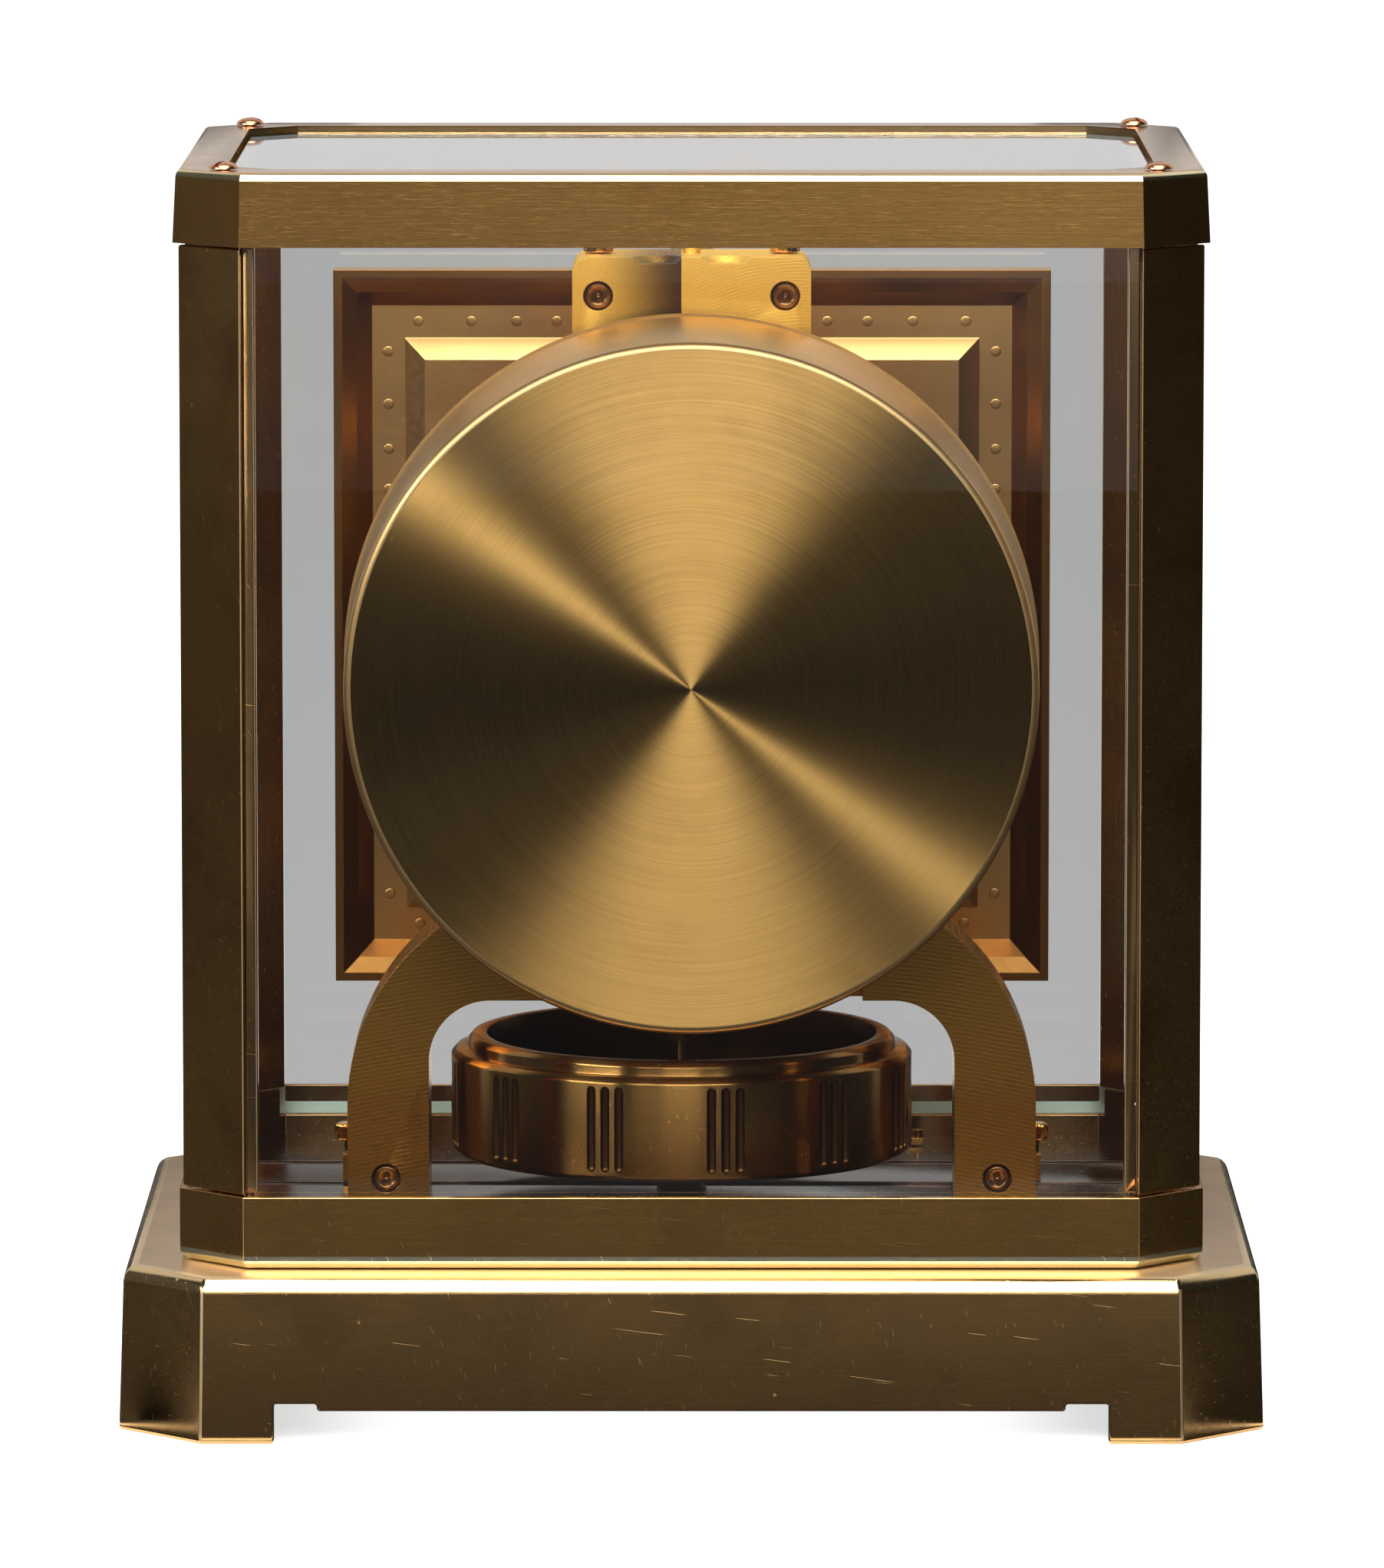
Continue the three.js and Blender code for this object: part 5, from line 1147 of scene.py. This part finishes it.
@dataclass
class Studio:
    """Pale floor, soft lamps and dark cards that shape the reflections."""

    floor_size: float = 30.0
    floor_grey: float = 0.8
    camera_glow: float = 0.68
    far_glow: float = 1.0
    glow_start: float = 0.16
    glow_end: float = 0.6
    foot_side: float = 0.078
    painted_light_side: float = 0.052
    glossy_glow: float = 0.5
    through_glow: float = 0.45
    glass_grey: float = 0.08
    mirror_sky: float = 0.7
    world_light: float = 0.12
    lamp_target: Spot = (0.0, 0.0, 0.13)

    def floor(self) -> None:
        """Makes the floor, white but for a shadow by the feet, with painted light that hides the
        clock's shadow between the feet, and grey through glass.
        """
        work = bmesh.new()
        bmesh.ops.create_grid(work, x_segments=2, y_segments=2, size=self.floor_size / 2)
        piece = linked("studio_floor", smooth_mesh("studio_floor", work))
        bench = MaterialBench("pale floor")
        rays = bench.add("ShaderNodeLightPath").outputs
        through = rays["Is Transmission Ray"]
        pale = (self.floor_grey,) * 3
        tint = bench.blend_colours(through, pale, (self.glass_grey,) * 3)
        plain = bench.add("ShaderNodeBsdfDiffuse", {"Color": tint})
        place = bench.place()
        # The glow rises away from the clock; between the feet it is painted light that hides the
        # clock's shadow.
        far = bench.ramp(bench.vector_maths("LENGTH", place), self.glow_start, self.glow_end)
        across = bench.maths("ABSOLUTE", bench.parts(place)["X"])
        painted_light_between_feet = bench.ramp(across, self.foot_side, self.painted_light_side)
        bright = bench.maths("MAXIMUM", far, painted_light_between_feet)
        rise = self.far_glow - self.camera_glow
        shown = bench.times(bright, rise, self.camera_glow)
        seen = bench.times(rays["Is Camera Ray"], shown)
        mirror = bench.maths("SUBTRACT", rays["Is Glossy Ray"], through, clamp=True)
        mirrored = bench.times(mirror, self.glossy_glow, seen)
        strength = bench.times(through, self.through_glow, mirrored)
        glow = bench.add("ShaderNodeEmission", {"Strength": strength})
        both = bench.add(
            "ShaderNodeAddShader", {0: plain.outputs["BSDF"], 1: glow.outputs["Emission"]}
        )
        piece.data.materials.append(bench.close(both.outputs[0]))

    def world(self) -> None:
        """Makes the world white to the camera and in mirrors, and softer as light."""
        world = bpy.data.worlds.new("studio")
        bpy.context.scene.world = world
        world.use_nodes = True
        world.node_tree.nodes.clear()
        bench = NodeBench(world.node_tree)
        rays = bench.add("ShaderNodeLightPath").outputs
        mirrored = bench.times(rays["Is Glossy Ray"], self.mirror_sky)
        through = bench.times(rays["Is Transmission Ray"], self.mirror_sky)
        seen = bench.maths("MAXIMUM", mirrored, through)
        shown = bench.maths("MAXIMUM", seen, rays["Is Camera Ray"])
        glow = bench.maths("MAXIMUM", shown, self.world_light)
        back = bench.add("ShaderNodeBackground", {"Color": (1.0, 1.0, 1.0, 1.0), "Strength": glow})
        bench.add("ShaderNodeOutputWorld", {"Surface": back.outputs[0]})

    def lamp(self, name: str, place: Spot, size: Pair, glow: float, side: Spot) -> None:
        """Adds a softbox that faces the clock.

        Args:
            name: The lamp's name.
            place: Where it stands, in metres.
            size: Its width and length, in metres.
            glow: How bright its face looks.
            side: Direction that its width lies along.
        """
        data = bpy.data.lights.new(name, "AREA")
        data.shape = "RECTANGLE"
        data.size, data.size_y = size
        data.energy = glow * math.pi * size[0] * size[1]
        backwards = (Vector(place) - Vector(self.lamp_target)).normalized()
        along = Vector(side) - backwards * backwards.dot(Vector(side))
        along.normalize()
        turn = Matrix((along, backwards.cross(along), backwards)).transposed().to_4x4()
        linked(name, data).matrix_world = Matrix.Translation(place) @ turn

    def card(self, name: str, corner: Spot, along: Spot, up: Spot, glow: float) -> None:
        """Adds a card that only mirrors see.

        Args:
            name: The card's name.
            corner: One corner, in metres.
            along: Vector to the next corner.
            up: Vector to the corner on the other side.
            glow: How bright it looks in a mirror.
        """
        work = bmesh.new()
        start = Vector(corner)
        far = start + Vector(along)
        spots = (start, far, far + Vector(up), start + Vector(up))
        work.faces.new([work.verts.new(spot) for spot in spots])
        card = linked(name, smooth_mesh(name, work))
        bench = MaterialBench(f"{name} face")
        light = bench.add("ShaderNodeEmission", {"Strength": glow})
        card.data.materials.append(bench.close(light.outputs[0]))
        for ray in ("camera", "diffuse", "transmission", "shadow", "volume_scatter"):
            setattr(card, f"visible_{ray}", False)

    def build(self) -> None:
        """Sets up the whole studio."""
        self.world()
        self.floor()
        for lamp in LAMPS:
            self.lamp(*lamp)
        for card in CARDS:
            self.card(*card)
        LOG.info("studio set up")


@dataclass
class StudioCamera:
    """Camera behind the clock and a little above it."""

    place: Spot = (-0.0028, 2.13017, 0.37599)
    tilt: float = 82.917
    heading: float = 180.074
    lens: float = 262.25
    sensor: float = 36.0
    clip: Pair = (0.05, 100.0)

    def build(self) -> None:
        """Adds the camera and makes it the scene's own."""
        data = bpy.data.cameras.new("studio_camera")
        data.sensor_fit = "VERTICAL"
        data.sensor_height = self.sensor
        data.lens = self.lens
        data.clip_start, data.clip_end = self.clip
        camera = linked("studio_camera", data)
        camera.location = self.place
        camera.rotation_euler = (math.radians(self.tilt), 0.0, math.radians(self.heading))
        bpy.context.scene.camera = camera


# Sub-assemblies


@dataclass
class CaseShell:
    """Base, rim, corner pillars and top ring with their screws."""

    shop: Workshop
    screw_places: tuple[str, ...] = ("rear_left", "rear_right", "front_left", "front_right")
    screw_turns: tuple[float, ...] = (0.05, 0.3, 0.62, 0.9)
    edge: float = 0.8
    pillar_edge: float = 0.4
    least_inward: float = 0.03
    steepest: float = 0.5
    upright: float = 0.3
    edge_facing: Pair = (0.86, 0.97)

    def wear_and_highlight_edges(self, piece: Piece) -> None:
        """Gives the upright edges beside a piece's broad faces a worn finish, paler so that it
        paints a highlight line along them.
        """
        self.shop.add_finish(piece, WORN_HIGHLIGHT_BRASS, self.is_upright_edge)

    def is_upright_edge(self, face: Face) -> bool:
        """Tells whether a face rounds an upright edge of the front or the back."""
        low, high = self.edge_facing
        return abs(face.normal.z) < self.upright and low < abs(face.normal.y) < high

    def faces_inside(self, face: Face) -> bool:
        """Tells whether a face of the rim looks towards its middle."""
        inward = face.normal.x * face.center.x + face.normal.y * face.center.y
        return inward < -self.least_inward and abs(face.normal.z) < self.steepest

    def build(self) -> None:
        """Makes and dresses every piece of the case."""
        shop = self.shop
        slot = "case_brass"
        plinth = shop.refine("plinth", "case", slot, BASE_BRASS, bevel=self.edge, segments=4)
        self.wear_and_highlight_edges(plinth)
        rim = shop.refine("lower_rim", "case", slot, RIM_BRASS, bevel=0.35)
        shop.add_finish(rim, INNER_BRASS, self.faces_inside)
        self.wear_and_highlight_edges(rim)
        top = shop.refine("top_frame", "case", slot, FRAME_BRASS, bevel=0.5, segments=4)
        self.wear_and_highlight_edges(top)
        for place, turn in zip(self.screw_places, self.screw_turns):
            name = f"pillar_{place}"
            self.wear_and_highlight_edges(
                shop.refine(name, "case", "polished_brass", PILLAR_BRASS, bevel=self.pillar_edge)
            )
            SlottedScrew(f"top_screw_{place}", turn).build(shop)


@dataclass
class Glazing:
    """Fixed panes, the lifting front pane and its knob."""

    shop: Workshop
    knob_radius: float = 4.2
    knob_length: float = 6.5
    knob_face: float = 0.7
    knob_shares: tuple[float, float, float] = (0.25, 0.65, 0.85)
    neck_radius: float = 1.6

    def knob(self) -> None:
        """Turns the knob that lifts the front pane."""
        low, high = node_box("front_knob")
        collar = (self.knob_radius + self.neck_radius) / 2
        edge, back, step = (low.y + self.knob_length * share for share in self.knob_shares)
        end = low.y + self.knob_length
        profile = [
            (self.knob_radius * self.knob_face, low.y), (self.knob_radius, edge),
            (self.knob_radius, back), (collar, step), (collar, end), (self.neck_radius, end),
            (self.neck_radius, high.y),
        ]
        body, slot = "front_door", "polished_brass"
        self.shop.turn("front_knob", body, slot, SMALL_BRASS, profile, Axis.DEPTH, rounding=0.6)

    def build(self) -> None:
        """Makes and dresses the panes and the knob."""
        shop = self.shop
        for node in ("top_glass", "rear_glass", "side_glass_left", "side_glass_right"):
            shop.refine(node, "case", "clear_glass", CLEAR_GLASS, bevel=0.25, segments=1, flat=True)
        body, slot = "front_door", "clear_glass"
        pane = shop.refine(
            "front_glass", body, slot, CLEAR_GLASS, bevel=0.15, segments=1, flat=True
        )
        shop.add_finish(pane, BEVEL_GLASS, lambda face: SLOPED[0] < abs(face.normal.y) < SLOPED[1])
        self.knob()
        shop.refine("front_knob_nut", body, "steel", STEEL, bevel=0.15)


@dataclass
class FloorFittings:
    """Dark floor with the level, the rest cup and the lock lever."""

    shop: Workshop
    level_radius: float = 8.0
    level_wall: float = 1.4
    level_edge: Pair = (0.5, 0.8)
    well_depth: float = 2.9
    vial_radius: float = 6.3
    vial_shoulder: float = 0.6
    vial_drops: Pair = (0.6, 0.1)
    cup_radius: float = 4.65
    cup_bore: float = 2.6
    cup_depth: float = 2.0
    cup_feet: Pair = (1.0, 1.4)
    cup_step: float = 0.5
    cup_taper: float = 0.7
    disc_radius: float = 8.5
    disc_height: float = 3.6
    disc_edge: float = 0.8
    disc_flutes: int = 18
    flute_depth: float = 0.5
    flute_reach: float = 0.9
    stem_radius: float = 2.4

    def level(self) -> None:
        """Turns the round level and its vial."""
        low, high = node_box("level_housing")
        well = self.level_radius - self.level_wall
        inwards, down = self.level_edge
        profile = [
            (self.level_radius, low.z), (self.level_radius, high.z - down),
            (self.level_radius - inwards, high.z), (well, high.z),
            (well, high.z - self.well_depth),
        ]
        self.shop.turn("level_housing", "case", "polished_brass", SMALL_BRASS, profile)
        low, high = node_box("level_vial")
        edge, shoulder = self.vial_drops
        profile = [
            (self.vial_radius, low.z), (self.vial_radius, high.z - edge),
            (self.vial_radius * self.vial_shoulder, high.z - shoulder), (0.0, high.z),
        ]
        self.shop.turn("level_vial", "case", "clear_glass", VIAL_GLASS, profile)

    def cup(self) -> None:
        """Turns the cup that the balance rests in."""
        low, high = node_box("balance_rest_cup")
        foot, waist = self.cup_feet
        profile = [
            (self.cup_radius, low.z), (self.cup_radius, low.z + foot),
            (self.cup_radius - self.cup_step, low.z + waist),
            (self.cup_radius - self.cup_step, high.z - self.cup_step),
            (self.cup_radius - 2 * self.cup_step, high.z), (self.cup_bore, high.z),
            (self.cup_bore * self.cup_taper, high.z - self.cup_depth),
        ]
        self.shop.turn("balance_rest_cup", "case", "dark_metal", DARK_METAL, profile)

    def levelling_screw(self, number: int) -> None:
        """Turns one levelling screw with a fluted disc."""
        node = f"levelling_screw_{number}"
        low, high = node_box(node)
        top = low.z + self.disc_height
        edge, inner = self.disc_edge, self.disc_radius - self.disc_edge
        profile = [
            (inner, low.z), (self.disc_radius, low.z + edge), (self.disc_radius, top - edge),
            (inner, top), (self.stem_radius, top), (self.stem_radius, high.z),
        ]
        past = self.disc_radius - self.flute_reach
        flutes = Flutes(self.disc_flutes, self.flute_depth, past)
        slot, body = "polished_brass", f"foot_{number}"
        self.shop.turn(node, body, slot, SMALL_BRASS, profile, steps=144, flutes=flutes)

    def build(self) -> None:
        """Makes and dresses what stands on the floor, and the levelling screws."""
        self.shop.refine("floor_plate", "case", "dark_metal", FLOOR_METAL, bevel=0.12, segments=2)
        self.level()
        self.cup()
        self.shop.refine("lock_lever", "lock", "polished_brass", SMALL_BRASS, bevel=0.15)
        for number in (1, 2, 3):
            self.levelling_screw(number)


@dataclass
class MovementBridge:
    """Arch with its screws, the clamp knobs and the suspension head."""

    shop: Workshop
    clamp_radius: float = 3.0
    clamp_head: float = 3.4
    clamp_neck: float = 1.3
    clamp_foot: float = 0.4
    clamp_dome: tuple[Pair, ...] = ((0.0, 0.7), (0.5, 0.2), (1.4, 0.0))
    knurls: int = 24
    knurl_depth: float = 0.3

    def clamp_knob(self, side: str) -> None:
        """Turns one knurled clamp knob."""
        node = f"clamp_knob_{side}"
        low, high = node_box(node)
        seat = high.z - self.clamp_head
        profile = [
            (self.clamp_neck, low.z), (self.clamp_neck, seat),
            (self.clamp_radius - self.clamp_foot, seat),
            (self.clamp_radius, seat + self.clamp_foot),
            *((self.clamp_radius - inwards, high.z - down) for inwards, down in self.clamp_dome),
        ]
        flutes = Flutes(self.knurls, self.knurl_depth, self.clamp_radius - self.knurl_depth)
        slot, body = "polished_brass", f"clamp_{side}"
        self.shop.turn(node, body, slot, SMALL_BRASS, profile, steps=144, flutes=flutes)

    def build(self) -> None:
        """Makes and dresses the bridge and the head."""
        shop = self.shop
        shop.refine("movement_bridge", "case", "movement_brass", MILLED_BRASS, bevel=0.25)
        shop.refine("suspension_block", "case", "movement_brass", BLOCK_BRASS, bevel=0.25)
        for side in ("left", "right"):
            SunkScrew(f"leg_screw_{side}").build(shop)
            self.clamp_knob(side)
            SunkScrew(f"block_screw_{side}").build(shop)
            shop.refine(f"block_top_screw_{side}", "case", "movement_brass", SMALL_BRASS, bevel=0.2)
        shop.refine("suspension_tube", "case", "movement_brass", SMALL_BRASS, bevel=0.1)
        shop.refine("torsion_wire", "balance", "steel", STEEL, bevel=0.02)


@dataclass
class Balance:
    """Grooved ring on its spider, with the roller above."""

    shop: Workshop
    centre: Pair = (1.9, 3.0)
    bottom: float = 42.8
    height: float = 19.5
    radius: float = 43.3
    rim_height: float = 2.7
    rim_radius: float = 40.1
    bore_radius: float = 36.6
    bevel: float = 1.0
    groove_groups: int = 12
    grooves_in_group: int = 3
    groove_spacing: float = 2.7
    groove_radius: float = 0.9
    groove_depth: float = 0.75
    groove_margin: float = 0.7
    groove_angle: float = 11.0
    groove_steps: int = 5
    cutter_steps: int = 20
    ring_steps: int = 240
    ring_rounding: float = 0.25
    inset: float = 1.0
    groove_gap: float = 0.06
    bore_gap: float = 0.1

    def ring_blank(self) -> Mesh:
        """Returns the turned ring before its grooves are cut."""
        top = self.bottom + self.height
        inner, high = self.radius - self.bevel, top + self.rim_height
        profile = [
            (self.bore_radius, self.bottom), (inner, self.bottom),
            (self.radius, self.bottom + self.bevel), (self.radius, top - self.bevel),
            (inner, top), (self.rim_radius, top), (self.rim_radius, high - self.bevel),
            (self.rim_radius - self.bevel, high), (self.bore_radius, high),
            (self.bore_radius, self.bottom),
        ]
        rounded = rounded_profile(profile, self.ring_rounding, steps=2)
        return turned_mesh("balance_blank", rounded, Axis.UPRIGHT, (0.0, 0.0), self.ring_steps)

    def cutter(self) -> Mesh:
        """Returns the round-ended cutter of one groove, standing on its own middle."""
        half = (self.height - 2 * (self.groove_margin + self.bevel)) / 2
        straight = half - self.groove_radius
        profile = [(0.0, -half)]
        for down, across in quarter_turn(self.groove_steps)[1:]:
            depth = -straight - self.groove_radius * down
            profile.append((self.groove_radius * across, depth))
        profile += [(radius, -height) for radius, height in reversed(profile)]
        return turned_mesh("groove_cutter", profile, Axis.UPRIGHT, (0.0, 0.0), self.cutter_steps)

    def ring(self) -> None:
        """Cuts the groups of grooves into the ring."""
        blank = bpy.data.objects.new("ring_blank", self.ring_blank())
        cutter = bpy.data.objects.new("groove_cutter", self.cutter())
        tree = GrowthTree("balance_ring_cut")
        groups = tree.size("Groups", self.groove_groups)
        each = tree.size("Grooves in a group", self.grooves_in_group)
        pitch = tree.size("Groove spacing", self.groove_spacing / self.radius)
        cutter_reach = self.radius + self.groove_radius - self.groove_depth
        reach = tree.size("Cutter reach", cutter_reach * MM)
        first = tree.size("First groove turn", math.radians(self.groove_angle))
        middle = tree.size("Groove middle", (self.bottom + self.height / 2) * MM)
        total = tree.times(groups, each)
        points = tree.add("GeometryNodePoints", {"Count": total})
        index = tree.add("GeometryNodeInputIndex").outputs[0]
        group = tree.maths("FLOOR", tree.maths("DIVIDE", index, each))
        groove = tree.maths("SUBTRACT", index, tree.times(group, each))
        half = tree.times(tree.maths("SUBTRACT", each, 1.0), 0.5)
        aside = tree.times(tree.maths("SUBTRACT", groove, half), pitch)
        step = tree.maths("DIVIDE", 2 * math.pi, groups)
        turn = tree.maths("ADD", tree.times(group, step, first), aside)
        across, aside = tree.maths("COSINE", turn), tree.maths("SINE", turn)
        spot = tree.combine(tree.times(across, reach), tree.times(aside, reach), middle)
        placed = tree.add(
            "GeometryNodeSetPosition", {"Geometry": points.outputs[0], "Position": spot}
        )
        tool = tree.add("GeometryNodeObjectInfo", {"Object": tree.size("Cutter", cutter)})
        cutters = tree.add(
            "GeometryNodeInstanceOnPoints",
            {"Points": placed.outputs[0], "Instance": tool.outputs["Geometry"]},
        )
        plain = tree.add("GeometryNodeObjectInfo", {"Object": tree.size("Blank", blank)})
        cut = tree.add(
            "GeometryNodeMeshBoolean",
            {"Mesh 1": plain.outputs["Geometry"], "Mesh 2": cutters.outputs[0]},
            operation="DIFFERENCE",
            solver="EXACT",
        )
        mesh = tree.grow(cut.outputs["Mesh"], RING_BRASS)
        work = bmesh.new()
        work.from_mesh(mesh)
        bmesh.ops.translate(work, verts=work.verts, vec=Vector((*self.centre, 0.0)) * MM)
        ring = smooth_mesh("balance_ring_grooved", work, sharp=28.0)
        for spare in (blank, cutter):
            bpy.data.objects.remove(spare)
        slot = "polished_brass"
        piece = self.shop.set_piece(ring, "balance", slot, RING_BRASS, ["balance_ring"])
        self.shop.add_finish(piece, DARK_BRASS, self.is_sunk)

    def is_sunk(self, face: Face) -> bool:
        """Tells whether a face of the ring lies in its bore or in a groove."""
        spot = face.center / MM
        reach = math.hypot(spot.x - self.centre[0], spot.y - self.centre[1])
        top = self.bottom + self.height
        grooved = self.bottom + self.inset < spot.z < top - self.inset
        sunk = grooved and self.rim_radius < reach < self.radius - self.groove_gap
        return sunk or reach < self.bore_radius + self.bore_gap

    def build(self) -> None:
        """Makes and dresses the balance."""
        self.ring()
        self.shop.refine("balance_spider", "balance", "movement_brass", TURNED_BRASS, bevel=0.25)
        self.shop.refine("impulse_roller", "balance", "movement_brass", TURNED_BRASS, bevel=0.15)


@dataclass
class BellowsDrum:
    """Turned drum over the bellows, with its carrier, push rod and spring."""

    shop: Workshop
    centre: Pair = (0.0, 136.4)
    radius: float = 64.3
    front_radius: float = 63.5
    mouth: float = 13.0
    face: float = 62.0
    rounding: float = 1.4
    wall: float = 1.2
    bead: float = 0.5
    bead_width: float = 1.0
    edge_steps: int = 14
    steps: int = 256

    def is_edge(self, face: Face) -> bool:
        """Tells whether a face of the drum lies off its flat end."""
        spot = face.center / MM
        reach = math.hypot(spot.x - self.centre[0], spot.z - self.centre[1])
        return reach > self.front_radius - self.rounding or spot.y < self.face - self.wall / 2

    def drum(self) -> None:
        """Turns the drum, with a rounded edge and a bead at its mouth."""
        bead, step = self.radius + self.bead, self.mouth + self.bead_width
        lip = (self.radius - self.wall, self.mouth)
        outside, inside = [lip, (bead, self.mouth), (bead, step), (self.radius, step)], []
        middle = self.front_radius - self.rounding
        inner = self.rounding - self.wall
        for across, out in quarter_turn(self.edge_steps):
            depth = self.face - self.rounding * (1 - out)
            outside.append((middle + self.rounding * across, depth))
            inside.append((middle + inner * across, self.face - self.rounding + inner * out))
        profile = [*outside, (0.0, self.face), (0.0, self.face - self.wall), *reversed(inside), lip]
        mesh = turned_mesh("bellows_drum_turned", profile, Axis.DEPTH, self.centre, self.steps)
        piece = self.shop.set_piece(mesh, "case", "drum_brass", DRUM_BRASS, ["bellows_drum"])
        self.shop.add_finish(piece, DRUM_EDGE_BRASS, self.is_edge)

    def build(self) -> None:
        """Makes and dresses the drum and what it holds."""
        self.drum()
        shop = self.shop
        shop.refine("drum_carrier", "case", "movement_brass", SMALL_BRASS, bevel=0.2)
        shop.refine("bellows_capsule", "case", "copper", COPPER, bevel=0.3)
        shop.refine("bellows_push_rod", "bellows_rod", "steel", STEEL, bevel=0.05)
        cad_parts["counter_spring"].material_slots[0].material = STEEL.material()


@dataclass
class Movement:
    """Plates, wheels and the pallet lever."""

    shop: Workshop

    def build(self) -> None:
        """Makes and dresses the movement."""
        shop = self.shop
        for node in ("back_plate", "front_plate"):
            shop.refine(node, "case", "movement_brass", MILLED_BRASS, bevel=0.25)
        for number in (1, 2, 3):
            shop.refine(f"plate_pillar_{number}", "case", "polished_brass", TURNED_BRASS, bevel=0.3)
        wheels = {
            "mainspring_barrel": "barrel",
            "centre_wheel": "centre",
            "third_wheel": "third",
            "escape_wheel": "escape",
            "minute_wheel": "minute_work",
        }
        for node, body in wheels.items():
            shop.refine(node, body, "movement_brass", TURNED_BRASS, bevel=0.06, segments=1)
        shop.refine("pallet_lever", "pallets", "steel", STEEL, bevel=0.12)


@dataclass
class DialAndHands:
    """Square pressed dial with its minute dots, and the two hands."""

    shop: Workshop
    height: float = 136.4
    dot_reach: float = 58.1
    dot_count: int = 60
    dot_radius: float = 1.0
    dot_rise: float = 0.09
    band: float = -49.0
    cove: float = 12.0
    flange: float = 2.6
    softness: float = 0.1

    def reach(self, spot: Vector) -> float:
        """Returns how far a spot is from the dial's middle, measured square, in mm."""
        return max(abs(spot.x / MM), abs(spot.z / MM - self.height))

    def dots(self) -> None:
        """Grows the pressed dots that follow the square minute track."""
        tree = GrowthTree("dial_minute_dots")
        count = tree.size("Dots", self.dot_count)
        reach = tree.size("Track reach", self.dot_reach * MM)
        radius = tree.size("Dot radius", self.dot_radius * MM)
        flat = tree.size("Dot flatness", self.dot_rise / self.dot_radius)
        band = tree.size("Band depth", self.band * MM)
        middle = tree.size("Dial height", self.height * MM)
        index = tree.add("GeometryNodeInputIndex").outputs[0]
        turn = tree.maths("DIVIDE", tree.times(index, 2 * math.pi), count)
        across, up = tree.maths("SINE", turn), tree.maths("COSINE", turn)
        widest = tree.maths("MAXIMUM", tree.maths("ABSOLUTE", across), tree.maths("ABSOLUTE", up))
        out = tree.maths("DIVIDE", reach, widest)
        spot = tree.combine(tree.times(across, out), band, tree.times(up, out, middle))
        points = tree.add("GeometryNodePoints", {"Count": count, "Position": spot})
        ball = tree.add("GeometryNodeMeshUVSphere", {"Segments": 16, "Rings": 10, "Radius": radius})
        dots = tree.add(
            "GeometryNodeInstanceOnPoints",
            {
                "Points": points.outputs[0],
                "Instance": ball.outputs["Mesh"],
                "Scale": tree.combine(1.0, flat, 1.0),
            },
        )
        mesh = tree.grow(dots.outputs[0], DIAL_GOLD)
        mesh.name = "dial_minute_dots"
        mesh.shade_smooth()
        self.shop.set_piece(mesh, "case", "dial_gold", DIAL_GOLD, [])

    def build(self) -> None:
        """Makes and dresses the dial and the hands."""
        plate = self.shop.refine(
            "dial_plate", "case", "dial_gold", DIAL_GOLD, bevel=self.softness, flat=True
        )
        low, high = node_box("dial_plate")
        edge = (high.x - low.x) / 2

        def is_shaded(face: Face) -> bool:
            """Tells whether a face lies in the cove round the dial's back, or on its flange."""
            corners = [plate.data.vertices[index].co for index in face.vertices]
            cove = self.reach(face.center) > edge - self.cove and face.normal.y < SLOPED[1]
            flange = min(self.reach(corner) for corner in corners) > edge - self.flange
            return face.normal.y > SLOPED[0] and (cove or flange)

        self.shop.add_finish(plate, DIAL_SHADE, is_shaded)
        self.dots()
        self.shop.refine("hour_hand", "hour_work", "hand_black", HAND_BLACK, bevel=0.12, segments=2)
        self.shop.refine("minute_hand", "centre", "hand_black", HAND_BLACK, bevel=0.12, segments=2)


ASSEMBLIES = (
    CaseShell, Glazing, FloorFittings, MovementBridge, Balance, BellowsDrum, Movement, DialAndHands
)


def main() -> None:
    """Builds the studio and every sub-assembly in order."""
    logging.basicConfig(level=logging.INFO, format="%(message)s")
    bpy.context.scene.view_settings.view_transform = "Standard"
    StudioCamera().build()
    Studio().build()
    for make_group in (make_line_grain, make_turned_grain, make_milled_grain, make_wear):
        make_group()
    shop = Workshop()
    for assembly in ASSEMBLIES:
        assembly(shop).build()
    LOG.info("%d pieces", shop.count)


if __name__ == "__main__":
    main()
